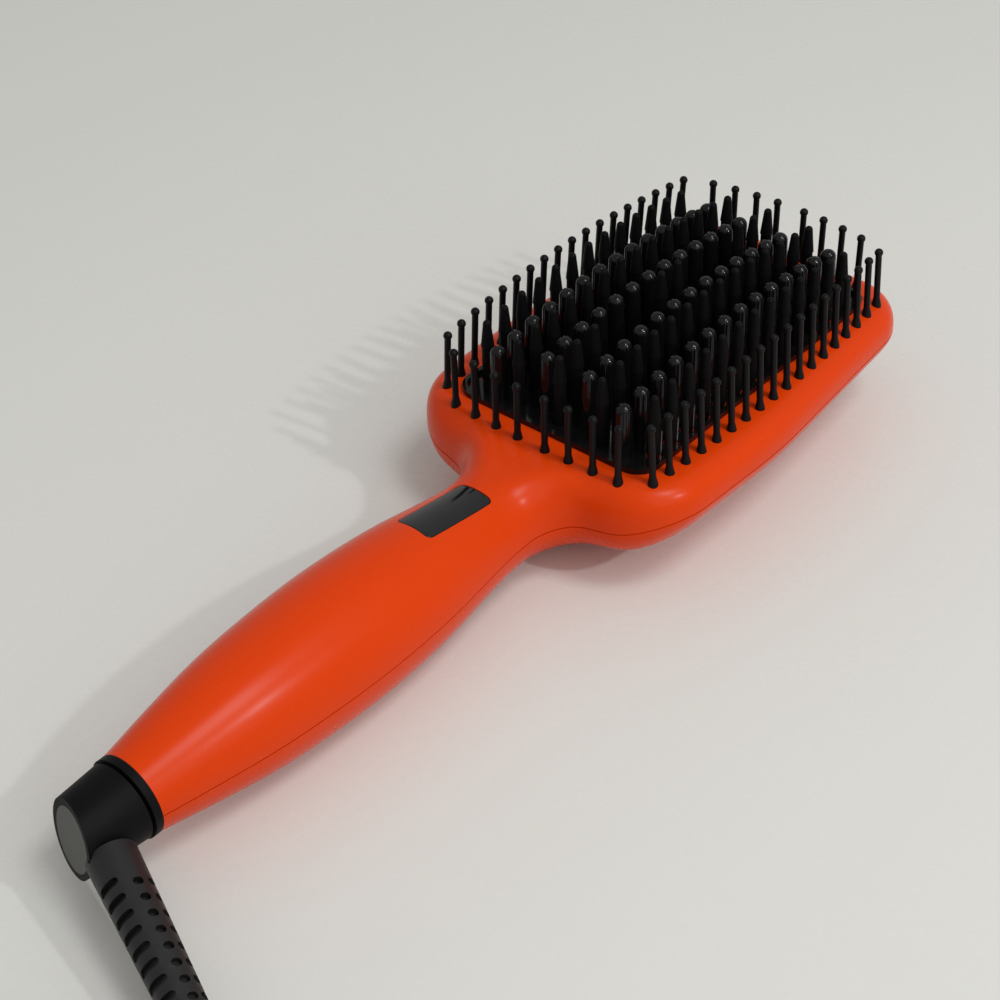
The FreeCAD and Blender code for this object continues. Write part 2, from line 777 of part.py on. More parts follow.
def thin_pin_frame():
    """Frame under the deck with the thin ball-ended pins round the plate."""
    low = pin_frame_top_z - pin_frame_thick
    xs = [x for x, y, lean in thin_pins]
    ys = [y for x, y, lean in thin_pins]
    margin = pin_frame_margin
    length = max(xs) - min(xs) + 2 * margin
    width = max(ys) - min(ys) + 2 * margin
    mid_x = (max(xs) + min(xs)) / 2
    frame = rounded_slab(length, width, shoulder_round - wall, low, pin_frame_top_z, mid_x)
    frame = frame.common(body(wall + fit, handle_end_x))
    inner_length = plate_opening_length + fit
    inner_width = plate_opening_width + fit
    high = pin_frame_top_z + overrun
    inner = rounded_slab(inner_length, inner_width, plate_opening_round, low - overrun, high, plate_mid_x)
    frame = frame.cut(inner)
    foot = deck_z + pin_foot_height
    adds = []
    for x, y, lean in thin_pins:
        ball = deck_z + pin_height - (x - plate_mid_x) ** 2 / (2 * pin_crown_radius) - pin_ball_radius
        pin = turned([
            (0, low), (pin_foot_radius, low), (pin_foot_radius, deck_z), (pin_stem_radius, foot),
            (pin_stem_radius, ball), (0, ball),
        ]).fuse(Part.makeSphere(pin_ball_radius, V(0, 0, ball)))
        adds.append(stand(pin, x, y, lean))
    frame = frame.fuse(adds)
    notches = []
    for x, y in head_screw_places():
        notches.append(rod(screw_boss_radius + fit, V(x, y, low - overrun), V(x, y, high)))
    return frame.cut(Part.makeCompound(notches)).removeSplitter()


# Heater pack

def heater_bars():
    """Two flat heating elements pressed against the plate."""
    bars = []
    low = plate_bottom_z - heater_thick
    for way in (-1, 1):
        bars.append(slab(heater_length, heater_width, low, plate_bottom_z, plate_mid_x, way * heater_y))
    return Part.makeCompound(bars)


def heater_clamp():
    """Sheet that holds the heating elements, with a hole for each screw."""
    sheet = slab(clamp_length, clamp_width, clamp_top_z - clamp_thick, clamp_top_z, plate_mid_x)
    low = clamp_top_z - clamp_thick - overrun
    for x, y in clamp_screw_places():
        sheet = sheet.cut(rod(clamp_screw_radius + fit, V(x, y, low), V(x, y, clamp_top_z + overrun)))
    return sheet


def clamp_screws():
    """Four alike screws, heads down."""
    solids = []
    for x, y in clamp_screw_places():
        seat = clamp_top_z - clamp_thick
        shank = rod(clamp_screw_radius, V(x, y, seat), V(x, y, plate_bottom_z - fit))
        head = rod(clamp_screw_head_radius, V(x, y, seat - clamp_screw_head), V(x, y, seat))
        solids.append(shank.fuse(head).removeSplitter())
    return Part.makeCompound(solids)


def heat_shield():
    """Insulating sheet under the clamp's screw heads."""
    top = clamp_top_z - clamp_thick - clamp_screw_head - shield_gap
    return slab(shield_length, shield_width, top - shield_thick, top, plate_mid_x)


def thermal_fuse():
    """Round cut-out beside the heating elements."""
    z = clamp_top_z + fit + fuse_radius
    middle = V(plate_mid_x, clamp_screw_y, z)
    return rod(fuse_radius, middle - X_DIR * (fuse_length / 2), middle + X_DIR * (fuse_length / 2))


def temperature_sensor():
    """Small sensor block on the other side."""
    low = plate_bottom_z - sensor_thick - fit
    return slab(sensor_length, sensor_width, low, plate_bottom_z - fit, plate_mid_x, -clamp_screw_y)


def heater_wires():
    """Two wires from the heating elements, under the rim and down the neck to the board."""
    wires = []
    start_x = plate_mid_x - heater_length / 2
    start_z = plate_bottom_z - heater_thick / 2 - heater_wire_radius / 2
    drop_x = plate_mid_x - clamp_length / 2
    under_x = opening_x + fit + rim_wall + heater_wire_radius
    under_z = deck_z - rim_skirt - heater_wire_drop
    end_x = (board_end_x + lens_mid_x + display_length / 2) / 2
    for way in (-1, 1):
        y = way * heater_y
        near_y = way * board_width / 4
        points = [
            V(start_x, y, start_z),
            V(drop_x, y, start_z),
            V(under_x, y, under_z),
            V(neck_x, near_y, under_z),
            V(end_x, near_y, board_top_z + heater_wire_radius),
        ]
        wires.append(tube(cord_path(points, "heater wire"), heater_wire_radius, "heater wire"))
    return Part.makeCompound(wires)


# Controls

def control_board():
    """Board along the handle's axis."""
    return slab(board_length, board_width, board_bottom_z, board_top_z, board_mid_x)


def display_module():
    """Lit display between the board and the window."""
    inner = neck_radius - wall
    top = axis_z + math.sqrt(inner ** 2 - (display_width / 2) ** 2) - fit
    return slab(display_length, display_width, board_top_z, top, lens_mid_x)


def display_lens():
    """Window that follows the handle's surface."""
    return shell_body.common(lens_prism(-fit / 2))


def board_parts():
    """Blocks on the board: relay, capacitor and driver."""
    step = board_length / 6
    first = board_mid_x - board_length / 2 + step
    blocks = []
    for i in range(2):
        size = board_width / (2 + i)
        blocks.append(slab(size, size, board_top_z, board_top_z + board_part_height, first + i * step))
    return Part.makeCompound(blocks)


def button(x):
    """Push button through the lower shell, with a flange inside that keeps it in."""
    radius = spindle_radius(x)
    inner = radius - wall
    flange_radius = button_radius + button_flange
    face_z = axis_z - radius - button_proud
    flange_z = axis_z - math.sqrt(inner ** 2 - flange_radius ** 2) + move_gap
    top_z = board_bottom_z - switch_height - plunger_height - button_travel - move_gap
    stem = rod(button_radius, V(x, 0, face_z), V(x, 0, flange_z + button_flange_thick))
    rim = [edge for edge in stem.Edges if abs(edge.BoundBox.ZMax - face_z) < button_edge / 2]
    stem = stem.makeFillet(button_edge, rim)
    flange = rod(flange_radius, V(x, 0, flange_z), V(x, 0, flange_z + button_flange_thick))
    post = rod(plunger_radius, V(x, 0, flange_z), V(x, 0, top_z))
    return stem.fuse([flange, post]).removeSplitter()


def switches():
    """Three small press switches under the board."""
    solids = []
    for x in button_places():
        low = board_bottom_z - switch_height
        block = slab(switch_size, switch_size, low, board_bottom_z, x)
        solids.append(block.fuse(rod(plunger_radius, V(x, 0, low - plunger_height), V(x, 0, low))))
    return Part.makeCompound(solids)


# Cord swivel

bush_end_x = handle_end_x + end_wall_length - wall
clip_x = bush_end_x + clip_end_play
stub_x = clip_x + clip_thick + clip_groove
ring_x = [stub_x + contact_ring_spacing * (i + 0.5) for i in range(2)]
stub_end_x = stub_x + 2 * contact_ring_spacing + contact_stub_tail


def on_axis(x):
    """Point of the handle's axis."""
    return V(x, 0, axis_z)


def swivel_bush():
    """Fixed bush in the handle's end, with a nose that carries the collar."""
    bush = rod(bush_radius, on_axis(handle_end_x), on_axis(bush_end_x))
    bush = bush.fuse(rod(bush_nose_radius, on_axis(collar_x), on_axis(bush_end_x)))
    return bush.cut(rod(bush_bore_radius, on_axis(collar_x - overrun), on_axis(bush_end_x + overrun)))


def collar_ring():
    """Dark ring between the handle and the swivel cap."""
    ring = rod(end_radius + collar_proud, on_axis(collar_x), on_axis(handle_end_x))
    bore = bush_nose_radius + shaft_clearance
    return ring.cut(rod(bore, on_axis(collar_x - overrun), on_axis(handle_end_x + overrun)))


def cap_frame():
    """Middle of the cap's sloping end face and its outward direction."""
    tilt = math.radians(cap_tilt)
    roll = math.radians(cap_tilt_roll)
    normal = V(-math.cos(tilt), math.sin(tilt) * math.cos(roll), math.sin(tilt) * math.sin(roll))
    return on_axis(cap_end_x), normal


def sleeve_heading():
    """Direction in which the lead leaves the cap."""
    back = math.radians(sleeve_back_angle)
    drop = math.radians(sleeve_drop_angle)
    return V(-math.sin(back), -math.cos(back) * math.cos(drop), -math.cos(back) * math.sin(drop))


sleeve_start = on_axis(cap_x - sleeve_root_from_cap)
sleeve_end = sleeve_start + sleeve_heading() * sleeve_length


def cap_block(grow):
    """Outer form of the cap, tapered and cut off by its sloping end face."""
    middle, normal = cap_frame()
    far = on_axis(cap_x - 2 * cap_length)
    slope = (cap_root_radius - cap_end_radius) / cap_length
    far_radius = cap_root_radius - 2 * cap_length * slope
    block = cone(cap_root_radius + grow, far_radius + grow, on_axis(cap_x), far)
    return block.cut(Part.makeCylinder(2 * cap_length, 2 * cap_length, middle + normal * grow, normal))


def swivel_cap():
    """Cap that turns on the bush: tapered shell, sloping end, shaft and contact stub."""
    middle, normal = cap_frame()
    seat = middle - normal * cap_disc_depth
    cap = cap_block(0)
    cap = cap.cut(Part.makeCylinder(cap_disc_radius, cap_disc_depth + overrun, seat, normal))
    cap = cap.fuse(rod(shaft_radius, on_axis(cap_x - overrun), on_axis(stub_x)))
    cap = cap.fuse(rod(contact_stub_radius, on_axis(cap_x), on_axis(stub_end_x)))
    groove = rod(clip_radius, on_axis(clip_x - fit / 2), on_axis(clip_x + clip_thick + fit / 2))
    groove = groove.cut(rod(shaft_radius - clip_groove, on_axis(clip_x - overrun), on_axis(stub_x + overrun)))
    cap = cap.cut(groove)
    cap = cap.cut(rod(cap_bore_radius, sleeve_start, on_axis(stub_end_x - contact_stub_tail)))
    return cap.cut(rod(sleeve_neck_radius, sleeve_start, sleeve_end)).removeSplitter()


def cap_disc():
    """Flat grey disc let into the cap's end."""
    middle, normal = cap_frame()
    seat = middle - normal * cap_disc_depth
    return Part.makeCylinder(cap_disc_radius - fit / 2, cap_disc_depth, seat, normal)


def retaining_clip():
    """Ring in the shaft's groove that keeps the cap on the bush."""
    ring = rod(clip_radius, on_axis(clip_x), on_axis(clip_x + clip_thick))
    return ring.cut(rod(shaft_radius - clip_groove + fit / 4, on_axis(clip_x - overrun), on_axis(stub_x)))


def contact_rings():
    """Two brass rings on the stub that carry the current through the turning joint."""
    rings = []
    for x in ring_x:
        a = on_axis(x - contact_ring_width / 2)
        b = on_axis(x + contact_ring_width / 2)
        ring = rod(contact_stub_radius + contact_ring_proud, a, b)
        rings.append(ring.cut(rod(contact_stub_radius, a - X_DIR * overrun, b + X_DIR * overrun)))
    return Part.makeCompound(rings)


def contact_block():
    """Insulating block on its pad that holds the two contact leaves."""
    top = contact_pad_z + contact_block_height
    return slab(contact_block_length, contact_block_width, contact_pad_z, top, contact_block_x)


def contact_leaves():
    """Two sprung leaves that reach up to the rings."""
    low = contact_pad_z + contact_block_height
    top = axis_z - contact_stub_radius - contact_ring_proud - move_gap
    leaves = [slab(leaf_width, contact_block_width / 2, low, top, x) for x in ring_x]
    return Part.makeCompound(leaves)


def supply_wires():
    """Two wires from the contact block to the board."""
    wires = []
    start_x = contact_block_x + contact_block_length / 2
    start_z = contact_pad_z + contact_block_height / 2
    end_x = board_mid_x - board_length / 2
    z = board_bottom_z - supply_wire_radius
    for way in (-1, 1):
        y = way * contact_block_width / 4
        wide_y = way * (screw_boss_radius + 2 * supply_wire_radius)
        near_x = start_x + (end_x - start_x) / 3
        on_x = start_x + 2 * (end_x - start_x) / 3
        points = [
            V(start_x, y, start_z),
            V(start_x + supply_wire_lead, y, start_z),
            V(near_x, wide_y, start_z),
            V(on_x, wide_y, z),
            V(end_x + board_width / 2, y, z),
        ]
        wires.append(tube(cord_path(points, "supply wire"), supply_wire_radius, "supply wire"))
    return Part.makeCompound(wires)


# Lead

def round_ended_slot(middle, along, across, out, span, depth):
    """Cutting block for a slot with round ends: it stands on its floor's middle and reaches outwards."""
    tip_radius = sleeve_slot_width / 2
    reach = across * (span / 2 - tip_radius)
    step = along * tip_radius
    tip = across * (span / 2)
    near = middle - reach
    far = middle + reach
    edges = [
        Part.makeLine(near + step, far + step),
        Part.Arc(far + step, middle + tip, far - step).toShape(),
        Part.makeLine(far - step, near - step),
        Part.Arc(near - step, middle - tip, near + step).toShape(),
    ]
    return Part.Face(Part.Wire(edges)).extrude(out * (depth + overrun))


def strain_relief():
    """Tapered sleeve with staggered columns of slots, seated in the cap."""
    way = sleeve_heading()
    shoulder = sleeve_start + way * sleeve_neck_length
    sleeve = cone(sleeve_root_radius, sleeve_end_radius, shoulder, sleeve_end).cut(cap_block(fit))
    sleeve = sleeve.fuse(rod(sleeve_neck_radius - shaft_clearance, sleeve_start, shoulder))
    floor_end = sleeve_end - way * cord_radius
    sleeve = sleeve.cut(rod(sleeve_bore_radius, sleeve_start - way * overrun, floor_end))
    side = way.cross(Z_DIR).normalize()
    up = side.cross(way)
    cuts = []
    for degrees, span, offset in sleeve_slot_columns:
        turn = math.radians(degrees)
        out = up * math.cos(turn) + side * math.sin(turn)
        for i in range(sleeve_slot_count):
            along = sleeve_slot_start + (i + offset) * sleeve_slot_pitch
            share = (along - sleeve_neck_length) / (sleeve_length - sleeve_neck_length)
            radius = sleeve_root_radius + (sleeve_end_radius - sleeve_root_radius) * share
            depth = (radius - sleeve_bore_radius) * sleeve_slot_depth_share
            middle = sleeve_start + way * along + out * (radius - depth)
            cuts.append(round_ended_slot(middle, way, way.cross(out), out, span, depth))
    return sleeve.cut(Part.makeCompound(cuts))


cord_floor_z = cord_radius + tie_thick + tie_gap
level_way = V(sleeve_heading().x, sleeve_heading().y, 0).normalize()

# Route of the free stretch from the sleeve to the coil, along its level direction: (distance, height, aside)
drop_slope = -sleeve_heading().z / math.hypot(sleeve_heading().x, sleeve_heading().y)
lead_steps = (
    (0, sleeve_end.z, 0),
    (lead_first_run, sleeve_end.z - lead_first_run * drop_slope, 0),
    (lead_first_run + lead_run, cord_floor_z, lead_sway),
    (lead_first_run + 2 * lead_run, cord_floor_z, lead_sway),
)
coil_out = V(-level_way.y, level_way.x, 0)


def level_point(distance, height, aside):
    """Point on from the sleeve's end, and aside from its direction."""
    return V(sleeve_end.x, sleeve_end.y, height) + level_way * distance - coil_out * aside


lead_points = [level_point(distance, height, aside) for distance, height, aside in lead_steps]
coil_start = lead_points[-1] + level_way * (2 * cord_radius)


def coil_edges():
    """Half turns that spiral in, climb one layer and spiral out again, with straight ends."""
    edges = [Part.makeLine(lead_points[-1], coil_start)]
    at = coil_start
    layer_z = coil_start.z
    radii = [coil_radius - i * coil_step / 2 for i in range(coil_half_turns)]
    inner = coil_radius - coil_half_turns * coil_step / 2
    turns = radii + [inner] + radii[::-1]
    for k in range(len(turns)):
        way = -1 if k % 2 == 0 else 1
        heading = level_way * (-way)
        radius = turns[k]
        end = at + coil_out * (2 * radius * way)
        if k == coil_half_turns:
            end = end + Z_DIR * coil_step
            half_climb = coil_step / 2
            middle = at + coil_out * (radius * way) + Z_DIR * half_climb
            middle = middle + heading * math.sqrt(radius ** 2 + half_climb ** 2)
            edges.append(tangent_arc(at, heading, middle))
            back = tangent_arc(end, heading, middle)
            edges.append(back)
        else:
            middle = at + coil_out * (radius * way) + heading * radius
            edges.append(Part.Arc(at, middle, end).toShape())
        at = end
    end = at - level_way * (2 * cord_radius)
    edges.append(Part.makeLine(at, end))
    return edges, end


def coil_gap(edges):
    """Least gap between turns, measured on points along the path."""
    points = []
    along = 0
    for edge in edges:
        steps = max(2, int(edge.Length / cord_radius))
        spots = edge.discretize(steps)
        if points and (spots[0] - points[-1][1]).Length > overrun:
            spots = spots[::-1]
        for spot in spots:
            if points:
                along += (spot - points[-1][1]).Length
            points.append((along, spot))
    least = overall_length
    apart = 4 * math.pi * cord_radius
    for i in range(len(points)):
        for j in range(i + 1, len(points)):
            if points[j][0] - points[i][0] > apart:
                least = min(least, (points[i][1] - points[j][1]).Length)
    return least - 2 * cord_radius


coil_path, coil_end = coil_edges()
coil_centre = coil_start - coil_out * coil_radius
tail_points = [coil_end] + [coil_end - level_way * along - coil_out * out for along, out in tail_steps]
plug_start = tail_points[-1]
plug_way = (tail_points[-1] - tail_points[-2]).normalize()


def cord_stretch():
    """Free stretch from the sleeve to the coil."""
    return tube(cord_path(lead_points, "lead"), cord_radius, "lead")


def cord_coil():
    """Lead wound into two layers of turns."""
    print("coil least gap %.2f mm" % coil_gap(coil_path))
    return tube(Part.Wire(Part.__sortEdges__(coil_path)).OrderedEdges, cord_radius, "coil")


def cord_tail():
    """Free end of the lead, from the coil to the plug."""
    return tube(cord_path(tail_points, "tail"), cord_radius, "tail")


def coil_tie():
    """Band round the bundle of turns, on the side away from the climb."""
    outer = coil_radius - coil_step / 2 + cord_radius + tie_gap
    inner = coil_radius - (coil_half_turns - 1) * coil_step / 2 - cord_radius - tie_gap - tie_slack
    low = cord_floor_z - cord_radius - tie_gap
    high = cord_floor_z + coil_step + cord_radius + tie_gap
    mid_y = -(outer + inner) / 2
    span = outer - inner
    band = slab(tie_width, span + 2 * tie_thick, low - tie_thick, high + tie_thick, 0, mid_y)
    band = band.cut(slab(2 * tie_width, span, low, high, 0, mid_y))
    turn = math.degrees(math.atan2(-level_way.x, level_way.y))
    band.rotate(V(0, 0, 0), Z_DIR, turn)
    band.translate(V(coil_centre.x, coil_centre.y, 0))
    return band


def plug_body():
    """Flat-sided plug that rests on the floor, with a tapered neck for the lead."""
    half_height = plug_start.z - plug_floor_gap
    grip = rounded_slab(plug_width, 2 * half_height, plug_corner_radius, 0, plug_grip_length, 0)
    grip = grip.makeFillet(plug_face_round, [edge for face in grip.Faces[-2:] for edge in face.Edges])
    neck_end = plug_start + plug_way * (plug_length - plug_grip_length)
    side = Z_DIR.cross(plug_way)
    grip.Placement = FreeCAD.Placement(neck_end, FreeCAD.Rotation(side, Z_DIR, plug_way, "ZXY"))
    inside = neck_end + plug_way * (plug_grip_length / 2)
    neck = cone(plug_neck_radius, half_height - plug_face_round, plug_start, inside)
    return neck.fuse(grip).removeSplitter()


def plug_blades():
    """Two flat blades that stand out of the plug's face."""
    face = plug_start + plug_way * plug_length
    side = Z_DIR.cross(plug_way)
    blades = []
    for way in (-1, 1):
        blade = slab(plug_blade_thick, plug_blade_height, 0, plug_blade_length, way * plug_blade_spacing / 2)
        blade.Placement = FreeCAD.Placement(face, FreeCAD.Rotation(side, Z_DIR, plug_way, "ZXY"))
        blades.append(blade)
    return Part.makeCompound(blades)


outer_body = body(0, handle_end_x)
shell_body = whole_shell()
contact_pad_z = axis_z - spindle_radius(handle_end_x + end_wall_length) + wall + contact_pad_rise

PIECES = (
    ("top_shell", top_shell),
    ("bottom_shell", bottom_shell),
    ("shell_screws", shell_screws),
    ("plate_rim", plate_rim),
    ("heating_plate", heating_plate),
    ("guard_pins", guard_pins),
    ("thin_pin_frame", thin_pin_frame),
    ("heater_bars", heater_bars),
    ("heater_clamp", heater_clamp),
    ("clamp_screws", clamp_screws),
    ("heat_shield", heat_shield),
    ("thermal_fuse", thermal_fuse),
    ("temperature_sensor", temperature_sensor),
    ("heater_wires", heater_wires),
    ("control_board", control_board),
    ("board_parts", board_parts),
    ("display_module", display_module),
    ("display_lens", display_lens),
    ("press_switches", switches),
    ("power_button", lambda: button(button_places()[0])),
    ("plus_button", lambda: button(button_places()[1])),
    ("minus_button", lambda: button(button_places()[2])),
    ("swivel_bush", swivel_bush),
    ("collar_ring", collar_ring),
    ("swivel_cap", swivel_cap),
    ("cap_disc", cap_disc),
    ("retaining_clip", retaining_clip),
    ("contact_rings", contact_rings),
    ("contact_block", contact_block),
    ("contact_leaves", contact_leaves),
    ("supply_wires", supply_wires),
    ("strain_relief", strain_relief),
    ("power_cord", cord_stretch),
    ("cord_coil", cord_coil),
    ("coil_tie", coil_tie),
    ("cord_tail", cord_tail),
    ("plug_body", plug_body),
    ("plug_blades", plug_blades),
)

os.makedirs("parts", exist_ok=True)
for name, make in PIECES:
    save(name, make())
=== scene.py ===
"""Heated styling brush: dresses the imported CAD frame, lays out its lead and sets the stage."""
import math

import bmesh
import bpy
import numpy as np
from mathutils import Matrix, Vector


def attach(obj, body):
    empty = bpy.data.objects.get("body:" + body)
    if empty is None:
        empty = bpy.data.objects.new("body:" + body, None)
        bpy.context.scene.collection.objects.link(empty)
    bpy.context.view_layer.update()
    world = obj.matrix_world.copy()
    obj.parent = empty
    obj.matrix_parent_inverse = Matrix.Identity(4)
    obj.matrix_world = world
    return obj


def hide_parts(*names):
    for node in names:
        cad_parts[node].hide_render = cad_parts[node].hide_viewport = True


bl_info = {
    "name": "Heated styling brush",
    "version": (1, 0, 0),
    "blender": (4, 5, 0),
    "location": "3D View > Sidebar > Brush",
    "description": "Body skins, teeth, controls, swivel and lead of a heated styling brush",
    "category": "Object",
}

MM = 0.001
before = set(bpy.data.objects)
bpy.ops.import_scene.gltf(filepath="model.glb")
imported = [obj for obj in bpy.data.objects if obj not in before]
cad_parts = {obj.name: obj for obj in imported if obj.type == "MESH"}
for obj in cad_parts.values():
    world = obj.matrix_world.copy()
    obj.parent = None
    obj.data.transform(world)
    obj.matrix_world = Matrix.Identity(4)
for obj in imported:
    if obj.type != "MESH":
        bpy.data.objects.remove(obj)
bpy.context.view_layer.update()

# Body outline in millimetres, as the CAD model has it
AXIS_Z = 17.0
DECK_Z = 31.2
HANDLE_END_X = -115.9
HANDLE_LENGTH = 117.6
BELLY_RADIUS = 17.0
HANDLE_ALONG_SHARES = np.array([0, 0.13, 0.25, 0.39, 0.53, 0.64, 0.745, 0.82, 0.915, 1.0, 1.2])
HANDLE_RADIUS_SHARES = np.array([0.578, 0.75, 0.885, 0.968, 1.0, 0.978, 0.92, 0.85, 0.77, 0.73, 0.73])
NECK_START_X = -6.0
# (x, y, corner radius) of the head's outline from the neck round to the middle of the far end
HEAD_CORNERS = (
    (8.74, 12.41, 11.0),
    (14.7, 41.49, 20.0),
    (61.46, 43.4, 160.0),
    (133.0, 37.5, 17.0),
    (134.28, 18.75, 150.0),
)
HEAD_TIP_X = 134.7
NECK_X = 1.7
DECK_START_X = 14.0
HEAD_PARTING_Z = 23.0
PARTING_RISE_LENGTH = 24.0
# Powers of the superellipses: 2 is a circle, more is squarer, less is flatter
ROUND_POWER = 2.0
DECK_POWER = 2.5
BACK_POWER = 1.42
# Opening of the heating plate, display window, buttons and screws
HOLE_X = (21.4, 121.8)
HOLE_Y = 29.75
HOLE_ROUND = 5.7
WINDOW_X = (-27.4, -5.0)
WINDOW_HALF_WIDTH = 5.15
WINDOW_ROUND = 1.4
BUTTON_X = (-26.0, -15.5, -5.0)
BUTTON_HOLE_RADIUS = 3.85
# (x, y, height of the seat) of the screws in the back
SCREWS = (
    (36.3, 38.3, 21.2), (36.3, -38.3, 21.2), (77.5, 38.3, 21.2), (77.5, -38.3, 21.2), (-77.1, 0.0, 15.2),
)
SCREW_POCKET_RADIUS = 2.2

# Lead, in millimetres
SLEEVE_ROOT = np.array([-126.0, 0.0, 17.0])
SLEEVE_BACK = math.radians(20.0)
SLEEVE_DROP = math.radians(10.0)
SLEEVE_LENGTH = 58.0
LEAD_FIRST_RUN = 10.0
LEAD_RUN = 7.5
LEAD_SWAY = 0.9
CORD_LEVEL = 4.6
COIL_LEAD_IN = 6.2
COIL_RADIUS = 46.0
COIL_STEP = 6.7
COIL_HALF_TURNS = 6
HALF_TURN_POINTS = 12
TAIL_STEPS = ((11.0, 0.0), (22.0, 2.0), (33.0, 6.0))

# How finely the surfaces are drawn
HANDLE_POINTS = 60
ARC_POINTS = 24
STRIP_COLUMNS = 26
MIDDLE_COLUMNS = 21
MIDDLE_WIDTH_SHARE = 0.55
WINDOW_ROWS = 60
WINDOW_COLUMNS = 40
BLEND_RINGS = ((0.5, 6), (1.0, 12))
BLEND_REACH_SHARE = 0.7
DISTANCE_BLOCK = 2000
TINY = 1e-6
SKIN_SHARP_DEGREES = 60.0
CUT_SHARP_DEGREES = 40.0

# Finishes: how the grain mixes and shows
GRAIN_SHARE = 0.45
CLOUD_SCALE = 60.0
TONE_RANGE = (0.3, 0.7)
BUMP_STRENGTH = 0.6
COAT_ROUGHNESS = 0.12

# Stage, in metres and watts
TABLE_REACH = 4.0
WORLD_COLOUR = (1.0, 0.995, 0.97, 1.0)
WORLD_STRENGTH = 0.47
LAMP_AIM = Vector((0, 0, 0.02))
# name, place, size and power of each lamp
LAMPS = (
    ("key_lamp", (0.13, -0.85, 0.73), 0.04, 2.2),
    ("front_lamp", (-0.25, -1.1, 0.9), 1.2, 4.2),
    ("side_lamp", (0.1, -0.62, 1.35), 0.4, 5.6),
)
CAMERA_PLACE = (-0.2707, -0.2427, 0.31315)
CAMERA_RIGHT = Vector((0.64721, -0.76189, -0.02558))
CAMERA_DOWN = Vector((-0.48813, -0.38841, -0.78158))
CAMERA_AHEAD = Vector((0.58554, 0.51833, -0.62328))
CAMERA_SENSOR = 36.0
CAMERA_LENS = 68.91
CAMERA_NEAREST = 0.01


class BrushSizes(bpy.types.PropertyGroup):
    """Sizes of the skins that a user may change."""

    deck_roll: bpy.props.FloatProperty(
        name="Deck roll", description="Width of the rounding along the deck's edge, in millimetres",
        default=8.4)
    back_roll: bpy.props.FloatProperty(
        name="Back roll", description="How far the dished back reaches in from its edge, in millimetres",
        default=28.0)
    back_blend: bpy.props.FloatProperty(
        name="Back blend", description="How widely the back's slopes run into each other, in millimetres",
        default=8.0)
    seam_gap: bpy.props.FloatProperty(
        name="Seam gap", description="Half the gap between the two shells, in millimetres", default=0.18)
    skin_thickness: bpy.props.FloatProperty(
        name="Skin thickness", description="Wall of the dressed shells, in millimetres", default=1.6)
    window_gap: bpy.props.FloatProperty(
        name="Window gap", description="Groove round the display window, in millimetres", default=0.15)
    window_roll: bpy.props.FloatProperty(
        name="Window roll", description="Rounding of the display window's edge, in millimetres", default=0.2)
    cord_diameter: bpy.props.FloatProperty(
        name="Cord diameter", description="Outside of the mains lead, in millimetres", default=6.2)


class BrushFinish(bpy.types.PropertyGroup):
    """Colours that a user may change."""

    shell: bpy.props.FloatVectorProperty(
        name="Shell", description="Colour of the body", subtype="COLOR", size=3,
        default=(0.69, 0.047, 0.001))
    black: bpy.props.FloatVectorProperty(
        name="Black", description="Colour of the black pieces", subtype="COLOR", size=3,
        default=(0.005, 0.005, 0.0055))
    grey: bpy.props.FloatVectorProperty(
        name="Grey", description="Colour of the grey pieces", subtype="COLOR", size=3,
        default=(0.045, 0.045, 0.042))
    table: bpy.props.FloatVectorProperty(
        name="Table", description="Colour of the table", subtype="COLOR", size=3,
        default=(0.72, 0.72, 0.69))


# Node groups and materials

def grain_group():
    """Fine moulded grain and slow clouds over Object coordinates.

    The tone is a weighted mean of the two, and the height is the grain alone.
    """
    name = "moulded_grain"
    if name in bpy.data.node_groups:
        return bpy.data.node_groups[name]
    group = bpy.data.node_groups.new(name, "ShaderNodeTree")
    for label in ("Grain Scale", "Cloud Scale"):
        group.interface.new_socket(label, in_out="INPUT", socket_type="NodeSocketFloat")
    for label in ("Tone", "Height"):
        group.interface.new_socket(label, in_out="OUTPUT", socket_type="NodeSocketFloat")
    nodes = group.nodes
    links = group.links
    given = nodes.new("NodeGroupInput")
    result = nodes.new("NodeGroupOutput")
    place = nodes.new("ShaderNodeTexCoord")
    grain = nodes.new("ShaderNodeTexNoise")
    grain.inputs["Detail"].default_value = 3.0
    cloud = nodes.new("ShaderNodeTexNoise")
    cloud.inputs["Detail"].default_value = 2.0
    mix = nodes.new("ShaderNodeMath")
    mix.operation = "MULTIPLY_ADD"
    mix.inputs[1].default_value = GRAIN_SHARE
    rest = nodes.new("ShaderNodeMath")
    rest.operation = "MULTIPLY"
    rest.inputs[1].default_value = 1 - GRAIN_SHARE
    links.new(place.outputs["Object"], grain.inputs["Vector"])
    links.new(place.outputs["Object"], cloud.inputs["Vector"])
    links.new(given.outputs["Grain Scale"], grain.inputs["Scale"])
    links.new(given.outputs["Cloud Scale"], cloud.inputs["Scale"])
    links.new(cloud.outputs["Fac"], rest.inputs[0])
    links.new(grain.outputs["Fac"], mix.inputs[0])
    links.new(rest.outputs[0], mix.inputs[2])
    links.new(mix.outputs[0], result.inputs["Tone"])
    links.new(grain.outputs["Fac"], result.inputs["Height"])
    return group


